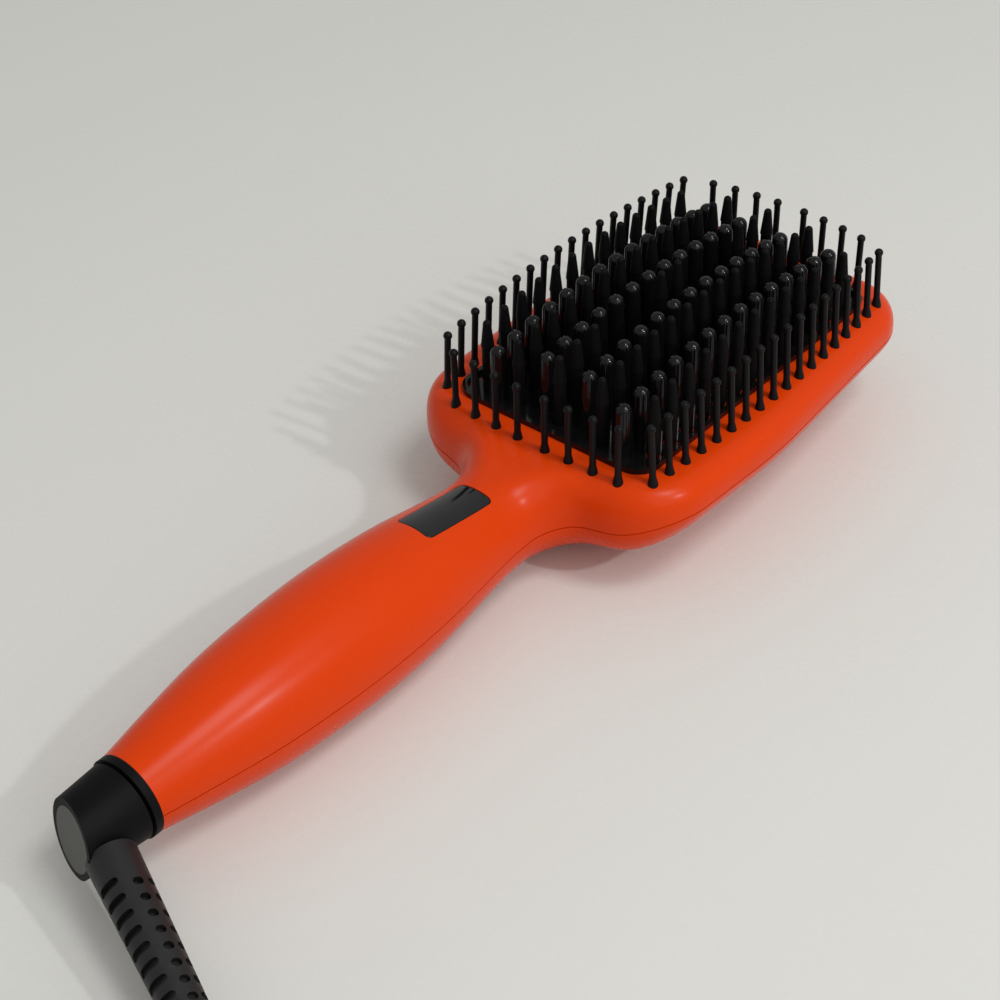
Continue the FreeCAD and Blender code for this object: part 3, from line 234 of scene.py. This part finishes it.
def finish(name, colour, spread, rough, scale, depth, metallic=0.0, specular=0.5, coat=0.0, ior=1.5):
    """Principled material whose colour, roughness and bump come from the grain group.

    colour runs from (1 - spread) to (1 + spread) of itself, and rough is (lowest, highest).
    scale is the grain's noise scale, and depth is its depth in millimetres.
    """
    material = bpy.data.materials.new(name)
    material.use_nodes = True
    nodes = material.node_tree.nodes
    links = material.node_tree.links
    shader = nodes["Principled BSDF"]
    shader.inputs["Metallic"].default_value = metallic
    shader.inputs["IOR"].default_value = ior
    shader.inputs["Specular IOR Level"].default_value = specular
    shader.inputs["Coat Weight"].default_value = coat
    shader.inputs["Coat Roughness"].default_value = COAT_ROUGHNESS
    grain = nodes.new("ShaderNodeGroup")
    grain.node_tree = grain_group()
    grain.inputs["Grain Scale"].default_value = scale
    grain.inputs["Cloud Scale"].default_value = CLOUD_SCALE
    tint = nodes.new("ShaderNodeMix")
    tint.data_type = "RGBA"
    tint.inputs[6].default_value = [c * (1 - spread) for c in colour] + [1.0]
    tint.inputs[7].default_value = [min(1.0, c * (1 + spread)) for c in colour] + [1.0]
    links.new(grain.outputs["Tone"], tint.inputs[0])
    links.new(tint.outputs[2], shader.inputs["Base Color"])
    gloss = nodes.new("ShaderNodeMapRange")
    gloss.inputs["From Min"].default_value, gloss.inputs["From Max"].default_value = TONE_RANGE
    gloss.inputs["To Min"].default_value, gloss.inputs["To Max"].default_value = rough
    links.new(grain.outputs["Tone"], gloss.inputs["Value"])
    links.new(gloss.outputs["Result"], shader.inputs["Roughness"])
    bump = nodes.new("ShaderNodeBump")
    bump.inputs["Strength"].default_value = BUMP_STRENGTH
    bump.inputs["Distance"].default_value = depth * MM
    links.new(grain.outputs["Height"], bump.inputs["Height"])
    links.new(bump.outputs["Normal"], shader.inputs["Normal"])
    return material


def dress(node, material):
    """Gives a CAD node its material."""
    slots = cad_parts[node].data.materials
    slots.clear()
    slots.append(material)


# Mesh helpers

def add_piece(name, points, faces, material, body, sharp_degrees=35.0):
    """Mesh object from points in millimetres, shaded smooth except at sharp edges, riding on a body."""
    mesh = bpy.data.meshes.new(name)
    mesh.from_pydata(points * MM, [], faces)
    merged = bmesh.new()
    merged.from_mesh(mesh)
    bmesh.ops.remove_doubles(merged, verts=merged.verts, dist=TINY)
    merged.to_mesh(mesh)
    merged.free()
    mesh.polygons.foreach_set("use_smooth", np.ones(len(mesh.polygons), dtype=bool))
    mesh.set_sharp_from_angle(angle=math.radians(sharp_degrees))
    mesh.materials.append(material)
    piece = bpy.data.objects.new(name, mesh)
    bpy.context.scene.collection.objects.link(piece)
    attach(piece, body)
    return piece


def grid_faces(rows, columns):
    """Quads of a grid of points that is stored row by row."""
    index = np.arange(rows * columns).reshape(rows, columns)
    return np.stack([index[:-1, :-1], index[1:, :-1], index[1:, 1:], index[:-1, 1:]], axis=-1)


def only_used(points, quads):
    """Points that the quads use, and the quads renumbered to them."""
    used, renumbered = np.unique(quads.reshape(-1), return_inverse=True)
    return points[used], renumbered.reshape(-1, quads.shape[-1]).tolist()


def smooth_step(x, low, high):
    """0 below low, 1 above high, and an even S between them."""
    share = np.clip((x - low) / (high - low), 0, 1)
    return share * share * (3 - 2 * share)


def curve_through(x, knots, values):
    """Cubic curve through (knots, values), with each slope taken from the two knots beside it."""
    slope = np.gradient(values, knots)
    i = np.clip(np.searchsorted(knots, x) - 1, 0, len(knots) - 2)
    span = knots[i + 1] - knots[i]
    t = (x - knots[i]) / span
    rise = (2 * t ** 3 - 3 * t ** 2 + 1) * values[i] + (3 * t ** 2 - 2 * t ** 3) * values[i + 1]
    lean = (t ** 3 - 2 * t ** 2 + t) * slope[i] + (t ** 3 - t ** 2) * slope[i + 1]
    return rise + lean * span


# Body

def handle_radius(x):
    """Radius of the round handle at x."""
    knots = HANDLE_END_X + HANDLE_ALONG_SHARES * HANDLE_LENGTH
    return curve_through(x, knots, BELLY_RADIUS * HANDLE_RADIUS_SHARES)


def outline():
    """Half of the body's plan: the handle's side, then straight lines with their corners rounded by arcs."""
    x = np.linspace(HANDLE_END_X, NECK_START_X, HANDLE_POINTS)
    parts = [np.stack([x, handle_radius(x)], axis=1)]
    corners = [(NECK_START_X, float(handle_radius(np.array([NECK_START_X]))[0]), 0.0)]
    corners += list(HEAD_CORNERS) + [(HEAD_TIP_X, 0.0, 0.0)]
    corners = np.array(corners)
    for before, here, after in zip(corners[:-2], corners[1:-1], corners[2:]):
        back = before[:2] - here[:2]
        on = after[:2] - here[:2]
        back /= np.linalg.norm(back)
        on /= np.linalg.norm(on)
        half = 0.5 * math.acos(np.clip(back @ on, -1, 1))
        middle = (back + on) / np.linalg.norm(back + on)
        centre = here[:2] + middle * here[2] / math.sin(half)
        spread = (math.pi / 2 - half) * np.linspace(-1, 1, ARC_POINTS)
        across = np.array([-middle[1], middle[0]])
        across *= np.sign(across @ on)
        arc = centre + here[2] * (np.outer(np.sin(spread), across) - np.outer(np.cos(spread), middle))
        parts.append(arc)
    parts.append(np.array([[HEAD_TIP_X, 0.0]]))
    return np.concatenate(parts)


def distance_to(points, line):
    """Distance of each point to the nearest piece of a polyline, worked out for a block of points at once."""
    first = line[:-1]
    run = line[1:] - first
    square = np.maximum((run ** 2).sum(axis=1), TINY ** 2)
    result = np.empty(len(points))
    for block in np.array_split(np.arange(len(points)), max(1, len(points) // DISTANCE_BLOCK)):
        offset = points[block, None, :] - first[None]
        share = np.clip((offset * run).sum(axis=2) / square, 0, 1)
        gap = offset - share[..., None] * run
        result[block] = np.sqrt((gap ** 2).sum(axis=2).min(axis=1))
    return result


def eased(low, high, count, ease_low, ease_high):
    """Steps from low to high that crowd together at an end that is eased."""
    share = np.linspace(0, 1, count)
    if ease_low and ease_high:
        share = 0.5 - 0.5 * np.cos(math.pi * share)
    elif ease_low:
        share = share ** 2
    elif ease_high:
        share = 1 - (1 - share) ** 2
    return low + (high - low) * share


def body_stations():
    """Places along the body, crowded where its outline turns."""
    return np.unique(np.concatenate([
        eased(HANDLE_END_X, NECK_START_X, 110, False, False),
        eased(NECK_START_X, HOLE_X[0], 120, False, False),
        eased(HOLE_X[0], HOLE_X[0] + HOLE_ROUND, 12, True, False),
        eased(HOLE_X[0] + HOLE_ROUND, HOLE_X[1] - HOLE_ROUND, 40, False, False),
        eased(HOLE_X[1] - HOLE_ROUND, HOLE_X[1], 12, False, True),
        eased(HOLE_X[1], HEAD_TIP_X, 50, False, True),
    ]))


def parting_height(x):
    """Height of the parting: level on the handle, and up to the head's side by two like bends."""
    share = np.clip((x - NECK_X) / PARTING_RISE_LENGTH, 0, 1)
    bend = np.where(share < 0.5, 2 * share ** 2, 1 - 2 * (1 - share) ** 2)
    return AXIS_Z + (HEAD_PARTING_Z - AXIS_Z) * bend


def plan_distance(points, blur):
    """Distance of plan points to the body's outline.

    On the head it is the mean over two rings round each point, so the slopes of two sides meet in a round.
    """
    line = outline()
    both = np.concatenate([line, line[::-1] * [1, -1]])
    far = distance_to(points, both)
    on_head = smooth_step(points[:, 0], NECK_X, NECK_X + PARTING_RISE_LENGTH)
    ring = np.minimum(blur * on_head, BLEND_REACH_SHARE * far)
    moved = ring > 0
    total = far[moved]
    shifts = np.concatenate([circle(0.0, 0.0, radius, count) for radius, count in BLEND_RINGS])
    for shift in shifts:
        total = total + distance_to(points[moved] + ring[moved, None] * shift, both)
    far[moved] = total / (1 + len(shifts))
    return far


def superellipse(near, reach, power):
    """Height of a quarter of a superellipse, from 0 at its foot to 1 at its crown."""
    return (1 - (1 - np.clip(near / reach, 0, 1)) ** power) ** (1 / power)


def upper_height(x, y, width, far, roll, seam, inset):
    """Height of the upper skin over the parting: round on the handle, a deck with a rolled edge on the head.

    It is a quarter of a superellipse of the distance to the outline, which starts at the seam's edge.
    inset is how far the layer lies inside the outer one.
    """
    on_head = smooth_step(x, NECK_START_X, DECK_START_X)
    near = (width - np.abs(y)) * (1 - on_head) + far * on_head
    radius = handle_radius(np.minimum(x, NECK_X))
    reach = radius * (1 - on_head) + roll * on_head
    height = (AXIS_Z + radius) * (1 - on_head) + DECK_Z * on_head - parting_height(x)
    power = ROUND_POWER * (1 - on_head) + DECK_POWER * on_head
    return seam + (height - inset - seam) * superellipse(near - inset, reach - inset, power)


def lower_depth(x, far, roll, seam, inset):
    """Depth of the lower skin under the parting: the handle's half round opens into the head's shallow dish.

    It is a quarter of a superellipse of the distance to the outline, round on the handle, flatter on the head.
    """
    on_head = smooth_step(x, NECK_X, NECK_X + roll)
    radius = handle_radius(np.minimum(x, NECK_X))
    reach = radius * (1 - on_head) + roll * on_head
    depth = parting_height(x) - (AXIS_Z - radius) * (1 - on_head)
    power = ROUND_POWER * (1 - on_head) + BACK_POWER * on_head
    return seam + (depth - inset - seam) * superellipse(far - inset, reach - inset, power)


def closed_wall(outer, inner, quads):
    """Two layers of the same quads, the inner one turned over, and quads that join their free edges."""
    count = len(outer)
    edges = np.stack([quads, np.roll(quads, -1, axis=1)], axis=-1).reshape(-1, 2)
    ahead = edges[:, 0] * count + edges[:, 1]
    back = edges[:, 1] * count + edges[:, 0]
    free = edges[~np.isin(back, ahead)]
    rim = np.stack([free[:, 1], free[:, 0], free[:, 0] + count, free[:, 1] + count], axis=1)
    return np.concatenate([outer, inner]), np.concatenate([quads, quads[:, ::-1] + count, rim])


def body_skin(side, roll, blur, seam, wall):
    """Half of the body as a closed wall: an outer and an inner height over one plan, meeting at the outline.

    side is 1 for the upper skin, which has the heating plate's opening, and -1 for the lower one.
    Across each station, points crowd towards the outline. Each skin starts a little off the parting,
    which leaves a groove.
    """
    line = outline()
    x = body_stations()
    width = np.interp(x, line[:, 0], line[:, 1])
    dist = np.minimum(x - HOLE_X[0], HOLE_X[1] - x)
    corner = HOLE_ROUND - np.clip(dist, 0, HOLE_ROUND)
    hole_edge = HOLE_Y - HOLE_ROUND + np.sqrt(np.maximum(HOLE_ROUND ** 2 - corner ** 2, 0))
    inner = np.minimum(np.where(dist >= 0, hole_edge, HOLE_Y - HOLE_ROUND), MIDDLE_WIDTH_SHARE * width)
    strip = np.linspace(0, 1, STRIP_COLUMNS)[None] ** 2
    out_y = width[:, None] - (width - inner)[:, None] * strip
    mid_y = inner[:, None] * np.linspace(1, -1, MIDDLE_COLUMNS + 2)[None, 1:-1]
    y = np.concatenate([out_y, mid_y, -out_y[:, ::-1]], axis=1)
    plan = np.stack([np.broadcast_to(x[:, None], y.shape), y], axis=-1)
    far = plan_distance(plan.reshape(-1, 2), blur).reshape(y.shape)
    layers = []
    for inset in (0.0, wall):
        if side > 0:
            rise = upper_height(plan[..., 0], y, width[:, None], far, roll, seam, inset)
        else:
            rise = lower_depth(plan[..., 0], far, roll, seam, inset)
        z = parting_height(plan[..., 0]) + side * rise
        layers.append(np.concatenate([plan, z[..., None]], axis=-1).reshape(-1, 3))
    quads = grid_faces(*y.shape)
    if side > 0:
        inside = (x[:-1] >= HOLE_X[0] - TINY) & (x[1:] <= HOLE_X[1] + TINY)
        keep = np.ones(quads.shape[:2], dtype=bool)
        keep[np.ix_(inside, np.arange(STRIP_COLUMNS - 1, STRIP_COLUMNS + MIDDLE_COLUMNS))] = False
        quads = quads[keep][:, ::-1]
    return only_used(*closed_wall(*layers, quads.reshape(-1, 4)))


def thicken(piece, thickness):
    """Gives an open surface its wall, inwards, and applies it."""
    wall = piece.modifiers.new("wall", "SOLIDIFY")
    wall.thickness = thickness * MM
    wall.offset = -1.0
    apply_modifiers(piece)


def apply_modifiers(piece):
    """Puts the result of a piece's modifiers into its mesh."""
    shown = piece.evaluated_get(bpy.context.evaluated_depsgraph_get())
    mesh = bpy.data.meshes.new_from_object(shown)
    mesh.set_sharp_from_angle(angle=math.radians(CUT_SHARP_DEGREES))
    piece.modifiers.clear()
    old = piece.data
    piece.data = mesh
    bpy.data.meshes.remove(old)


def cut_out(piece, loops, low, high):
    """Cuts upright prisms, one on each closed loop of plan points, out of a piece."""
    cutters = []
    for loop in loops:
        count = len(loop)
        ends = [np.column_stack([loop, np.full(count, z)]) for z in (low, high)]
        around = np.arange(count)
        following = np.roll(around, -1)
        sides = np.stack([around, following, following + count, around + count], axis=1).tolist()
        caps = [around[::-1].tolist(), (around + count).tolist()]
        mesh = bpy.data.meshes.new("cutter")
        mesh.from_pydata(np.concatenate(ends) * MM, [], sides + caps)
        cutter = bpy.data.objects.new("cutter", mesh)
        bpy.context.scene.collection.objects.link(cutter)
        step = piece.modifiers.new("cut", "BOOLEAN")
        step.operation = "DIFFERENCE"
        step.solver = "MANIFOLD"
        step.object = cutter
        cutters.append(cutter)
    apply_modifiers(piece)
    for cutter in cutters:
        bpy.data.meshes.remove(cutter.data)


def circle(x, y, radius, count=40):
    """Closed loop of points round (x, y)."""
    turn = np.linspace(0, 2 * math.pi, count, endpoint=False)
    return np.stack([x + radius * np.cos(turn), y + radius * np.sin(turn)], axis=1)


# Display window and screw pockets

def window_half_width(x, grow):
    """Half the display window's width at x: straight sides, with a quarter circle at each corner."""
    radius = WINDOW_ROUND + grow
    near = np.minimum(x - WINDOW_X[0], WINDOW_X[1] - x) + grow
    corner = radius - np.clip(near, 0, radius)
    return WINDOW_HALF_WIDTH + grow - radius + np.sqrt(np.maximum(radius ** 2 - corner ** 2, 0))


def window_stations(grow):
    """Places along the display window, crowded at its rounded ends."""
    return eased(WINDOW_X[0] - grow, WINDOW_X[1] + grow, WINDOW_ROWS, True, True)


def window_loop(grow):
    """Closed loop round the display window, larger by grow."""
    x = window_stations(grow)
    side = np.stack([x, -window_half_width(x, grow)], axis=1)
    return np.concatenate([side, side[::-1] * [1, -1]])


def window_surface(roll):
    """Display window as a grid: it follows the handle's round, and its edge drops by a quarter circle."""
    x = window_stations(0.0)
    half = window_half_width(x, 0.0)
    across = eased(-1, 1, WINDOW_COLUMNS, True, True)
    y = half[:, None] * across[None]
    radius = handle_radius(x)[:, None]
    end = np.minimum(x - WINDOW_X[0], WINDOW_X[1] - x)[:, None]
    near = np.clip(np.minimum(half[:, None] - np.abs(y), end), 0, roll)
    drop = roll - np.sqrt(np.maximum(roll ** 2 - (roll - near) ** 2, 0))
    z = AXIS_Z + np.sqrt(radius ** 2 - y ** 2) - drop
    points = np.stack([np.broadcast_to(x[:, None], y.shape), y, z], axis=-1)
    quads = grid_faces(*y.shape).reshape(-1, 4)
    return points.reshape(-1, 3), quads.tolist()


def ring_faces(rings, columns):
    """Quads of a grid of points that closes on itself after its last column."""
    index = np.arange(rings * columns).reshape(rings, columns)
    index = np.concatenate([index, index[:, :1]], axis=1)
    return np.stack([index[:-1, :-1], index[:-1, 1:], index[1:, 1:], index[1:, :-1]], axis=-1).reshape(-1, 4)


def pockets_surface(roll, blur, sink):
    """Screw pockets: each is a wall from just inside the skin up to its seat, then a ring in to the shank."""
    points = []
    faces = []
    for x, y, seat in SCREWS:
        loop = circle(x, y, SCREW_POCKET_RADIUS)
        depth = lower_depth(loop[:, 0], plan_distance(loop, blur), roll, sink, sink)
        low = parting_height(loop[:, 0]) - depth
        top = np.full(len(loop), seat)
        shank = circle(x, y, SCREW_POCKET_RADIUS / 2)
        rings = [(loop, low), (loop, (low + top) / 2), (loop, top), (shank, top)]
        grid = np.concatenate([np.column_stack(ring) for ring in rings])
        faces.append(ring_faces(len(rings), len(loop)) + sum(len(block) for block in points))
        points.append(grid)
    return np.concatenate(points), np.concatenate(faces)[:, ::-1].tolist()


# Lead

def sleeve_way():
    """Direction in which the sleeve leaves the cap."""
    level = math.cos(SLEEVE_BACK) * math.cos(SLEEVE_DROP)
    return np.array([-math.sin(SLEEVE_BACK), -level, -math.cos(SLEEVE_BACK) * math.sin(SLEEVE_DROP)])


def lead_route():
    """Points of the lead: off the sleeve, down to the table, in and out of the coil, and on to the plug.

    The coil is made of half circles that shrink by half a step each, then climb one cord and grow again.
    """
    way = sleeve_way()
    start = SLEEVE_ROOT + way * SLEEVE_LENGTH
    level = way * [1, 1, 0]
    slope = way[2] / np.linalg.norm(level)
    level /= np.linalg.norm(level)
    out = np.array([-level[1], level[0], 0.0])
    along = np.array([0, LEAD_FIRST_RUN, LEAD_FIRST_RUN + LEAD_RUN, LEAD_FIRST_RUN + 2 * LEAD_RUN])
    height = np.array([start[2], start[2] + LEAD_FIRST_RUN * slope, CORD_LEVEL, CORD_LEVEL])
    sway = np.array([0, 0, LEAD_SWAY, LEAD_SWAY])
    lead = start * [1, 1, 0] + along[:, None] * level + height[:, None] * [0, 0, 1] - sway[:, None] * out
    points = [lead]
    at = lead[-1] + level * COIL_LEAD_IN
    radii = COIL_RADIUS - np.arange(COIL_HALF_TURNS) * COIL_STEP / 2
    turns = np.concatenate([radii, [COIL_RADIUS - COIL_HALF_TURNS * COIL_STEP / 2], radii[::-1]])
    half_step = math.pi / HALF_TURN_POINTS / 2
    angle = np.linspace(0, math.pi, HALF_TURN_POINTS + 1)[:-1] + half_step
    swell = 1 / math.cos(half_step)
    for k, radius in enumerate(turns):
        way_out = -1 if k % 2 == 0 else 1
        climb = COIL_STEP if k == COIL_HALF_TURNS else 0.0
        centre = at + out * radius * way_out
        turn = -np.cos(angle)[:, None] * out * way_out - np.sin(angle)[:, None] * level * way_out
        points.append(centre + turn * radius * swell + (angle / math.pi * climb)[:, None] * [0, 0, 1])
        at = at + out * 2 * radius * way_out + np.array([0, 0, climb])
    end = at - level * COIL_LEAD_IN
    tail = [end - level * step - out * aside for step, aside in TAIL_STEPS]
    points.append(np.array([end] + tail))
    return np.concatenate(points)


# Steps

class BRUSH_OT_lead(bpy.types.Operator):
    """Lays the mains lead as one smooth tube: off the sleeve, into its coil and on to the plug"""

    bl_idname = "brush.lead"
    bl_label = "Lead"

    def execute(self, context):
        sizes = context.scene.brush_sizes
        black = context.scene.brush_finish.black
        route = lead_route() * MM
        curve = bpy.data.curves.new("mains_lead", "CURVE")
        curve.dimensions = "3D"
        curve.bevel_depth = sizes.cord_diameter / 2 * MM
        curve.bevel_resolution = 5
        curve.resolution_u = 4
        spline = curve.splines.new("NURBS")
        spline.points.add(len(route) - 1)
        spline.points.foreach_set("co", np.concatenate([route, np.ones((len(route), 1))], axis=1).ravel())
        spline.order_u = 3
        spline.use_endpoint_u = True
        lead = bpy.data.objects.new("mains_lead", curve)
        context.scene.collection.objects.link(lead)
        rubber = finish("lead_rubber", black, 0.3, (0.42, 0.6), 1500.0, 0.05)
        curve.materials.append(rubber)
        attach(lead, "swivel")
        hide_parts("power_cord", "cord_coil", "cord_tail")
        dress("strain_relief", rubber)
        dress("coil_tie", finish("tie_rubber", black, 0.3, (0.5, 0.65), 1200.0, 0.05))
        dress("plug_body", finish("plug_plastic", black, 0.3, (0.4, 0.55), 1600.0, 0.06))
        plating = finish("blade_plating", (0.72, 0.72, 0.72), 0.08, (0.18, 0.3), 900.0, 0.01, metallic=1.0)
        dress("plug_blades", plating)
        return {"FINISHED"}


class BRUSH_OT_body(bpy.types.Operator):
    """Makes the two orange skins of the body and the pockets of its screws"""

    bl_idname = "brush.body"
    bl_label = "Body"

    def execute(self, context):
        sizes = context.scene.brush_sizes
        shell = context.scene.brush_finish.shell
        orange = finish("shell_orange", shell, 0.025, (0.26, 0.28), 900.0, 0.0002, specular=0.14)
        for name, node, side, roll, blur in (
            ("upper_skin", "top_shell", 1, sizes.deck_roll, 0.0),
            ("lower_skin", "bottom_shell", -1, sizes.back_roll, sizes.back_blend),
        ):
            points, faces = body_skin(side, roll, blur, sizes.seam_gap, sizes.skin_thickness)
            skin = add_piece(name, points, faces, orange, "handle", SKIN_SHARP_DEGREES)
            if side > 0:
                cut_out(skin, [window_loop(sizes.window_gap)], AXIS_Z, 2 * DECK_Z)
            else:
                holes = [circle(x, 0.0, BUTTON_HOLE_RADIUS) for x in BUTTON_X]
                cut_out(skin, holes, -BELLY_RADIUS, AXIS_Z)
                for x, y, seat in SCREWS:
                    cut_out(skin, [circle(x, y, SCREW_POCKET_RADIUS)], -BELLY_RADIUS, seat)
            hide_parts(node)
        points, faces = pockets_surface(sizes.back_roll, sizes.back_blend, sizes.seam_gap)
        pockets = add_piece("screw_pockets", points, faces, orange, "handle")
        thicken(pockets, sizes.seam_gap)
        return {"FINISHED"}


class BRUSH_OT_window(bpy.types.Operator):
    """Makes the dark display window, flush in the neck"""

    bl_idname = "brush.window"
    bl_label = "Display window"

    def execute(self, context):
        sizes = context.scene.brush_sizes
        tint = (0.008, 0.008, 0.009)
        dark = finish("window_black", tint, 0.2, (0.03, 0.06), 500.0, 0.001, specular=0.3, coat=0.2)
        points, faces = window_surface(sizes.window_roll)
        glass = add_piece("window_glass", points, faces, dark, "handle")
        thicken(glass, sizes.skin_thickness)
        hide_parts("display_lens")
        return {"FINISHED"}


class BRUSH_OT_fittings(bpy.types.Operator):
    """Gives the teeth, controls, swivel and inner pieces their finishes"""

    bl_idname = "brush.fittings"
    bl_label = "Fittings"

    def execute(self, context):
        colours = context.scene.brush_finish
        matt = finish("matt_black", colours.black, 0.3, (0.42, 0.55), 1800.0, 0.05, specular=0.2, ior=1.25)
        satin = finish("satin_black", colours.black, 0.3, (0.36, 0.46), 1800.0, 0.03, specular=0.4, ior=1.25)
        gloss = finish("post_black", colours.black, 0.2, (0.06, 0.1), 800.0, 0.003, specular=0.4, ior=1.4)
        grey = finish("disc_grey", colours.grey, 0.2, (0.4, 0.5), 1800.0, 0.04)
        steel = finish("screw_steel", (0.55, 0.55, 0.56), 0.1, (0.28, 0.4), 700.0, 0.01, metallic=1.0)
        brass = finish("leaf_brass", (0.75, 0.56, 0.25), 0.1, (0.25, 0.35), 700.0, 0.01, metallic=1.0)
        ceramic = finish("element_ceramic", (0.8, 0.78, 0.72), 0.06, (0.5, 0.7), 900.0, 0.02)
        board = finish("board_green", (0.03, 0.16, 0.06), 0.15, (0.3, 0.45), 900.0, 0.02)
        wire = finish("wire_red", (0.5, 0.06, 0.05), 0.1, (0.35, 0.45), 900.0, 0.01)
        sheet = finish("shield_sheet", (0.72, 0.69, 0.6), 0.1, (0.6, 0.8), 1200.0, 0.05)
        for material, nodes in (
            (matt, ("guard_pins", "swivel_cap", "collar_ring", "swivel_bush")),
            (matt, ("board_parts", "press_switches", "contact_block")),
            (satin, ("thin_pin_frame",)),
            (gloss, ("heating_plate", "plate_rim")),
            (grey, ("cap_disc", "power_button", "plus_button", "minus_button", "display_module")),
            (steel, ("shell_screws", "clamp_screws", "heater_clamp", "retaining_clip", "thermal_fuse")),
            (brass, ("contact_rings", "contact_leaves")),
            (ceramic, ("heater_bars", "temperature_sensor")),
            (board, ("control_board",)),
            (wire, ("heater_wires", "supply_wires")),
            (sheet, ("heat_shield",)),
        ):
            for node in nodes:
                dress(node, material)
        return {"FINISHED"}


class BRUSH_OT_stage(bpy.types.Operator):
    """Sets the table, the lamps and the camera"""

    bl_idname = "brush.stage"
    bl_label = "Stage"

    def execute(self, context):
        scene = context.scene
        scene.view_settings.view_transform = "Standard"
        mesh = bpy.data.meshes.new("table")
        corners = [(x * TABLE_REACH, y * TABLE_REACH, 0) for x, y in ((-1, -1), (1, -1), (1, 1), (-1, 1))]
        mesh.from_pydata(corners, [], [(0, 1, 2, 3)])
        mesh.materials.append(
            finish("table_top", scene.brush_finish.table, 0.01, (0.24, 0.3), 300.0, 0.002, specular=0.25))
        table = bpy.data.objects.new("table", mesh)
        scene.collection.objects.link(table)
        world = bpy.data.worlds.new("studio")
        world.use_nodes = True
        sky = world.node_tree.nodes["Background"]
        sky.inputs["Color"].default_value = WORLD_COLOUR
        sky.inputs["Strength"].default_value = WORLD_STRENGTH
        scene.world = world
        for name, place, size, power in LAMPS:
            lamp = bpy.data.lights.new(name, "AREA")
            lamp.size = size
            lamp.energy = power
            lamp_object = bpy.data.objects.new(name, lamp)
            lamp_object.location = place
            aim = LAMP_AIM - Vector(place)
            lamp_object.rotation_euler = aim.to_track_quat("-Z", "Y").to_euler()
            scene.collection.objects.link(lamp_object)
        camera = bpy.data.cameras.new("camera")
        camera.sensor_width = CAMERA_SENSOR
        camera.sensor_fit = "HORIZONTAL"
        camera.lens = CAMERA_LENS
        camera.clip_start = CAMERA_NEAREST
        turn = Matrix((CAMERA_RIGHT, -CAMERA_DOWN, -CAMERA_AHEAD)).transposed().to_4x4()
        camera_object = bpy.data.objects.new("camera", camera)
        camera_object.matrix_world = Matrix.Translation(CAMERA_PLACE) @ turn
        scene.collection.objects.link(camera_object)
        scene.camera = camera_object
        return {"FINISHED"}


class BRUSH_PT_panel(bpy.types.Panel):
    """Lists the steps and their settings"""

    bl_label = "Heated styling brush"
    bl_idname = "BRUSH_PT_panel"
    bl_space_type = "VIEW_3D"
    bl_region_type = "UI"
    bl_category = "Brush"

    def draw(self, context):
        for settings in (context.scene.brush_sizes, context.scene.brush_finish):
            for key in settings.bl_rna.properties.keys():
                if key not in {"rna_type", "name"}:
                    self.layout.prop(settings, key)
        for step in STEPS:
            self.layout.operator(step.bl_idname)


STEPS = (BRUSH_OT_stage, BRUSH_OT_lead, BRUSH_OT_body, BRUSH_OT_window, BRUSH_OT_fittings)
CLASSES = (BrushSizes, BrushFinish) + STEPS + (BRUSH_PT_panel,)


def register():
    """Registers the classes and hangs the settings on the scene."""
    for item in CLASSES:
        bpy.utils.register_class(item)
    bpy.types.Scene.brush_sizes = bpy.props.PointerProperty(type=BrushSizes)
    bpy.types.Scene.brush_finish = bpy.props.PointerProperty(type=BrushFinish)


def unregister():
    """Takes the settings and the classes away again."""
    del bpy.types.Scene.brush_finish
    del bpy.types.Scene.brush_sizes
    for item in reversed(CLASSES):
        bpy.utils.unregister_class(item)


def main():
    """Runs every step in order."""
    register()
    bpy.ops.brush.stage()
    bpy.ops.brush.lead()
    bpy.ops.brush.body()
    bpy.ops.brush.window()
    bpy.ops.brush.fittings()


if __name__ == "__main__":
    main()
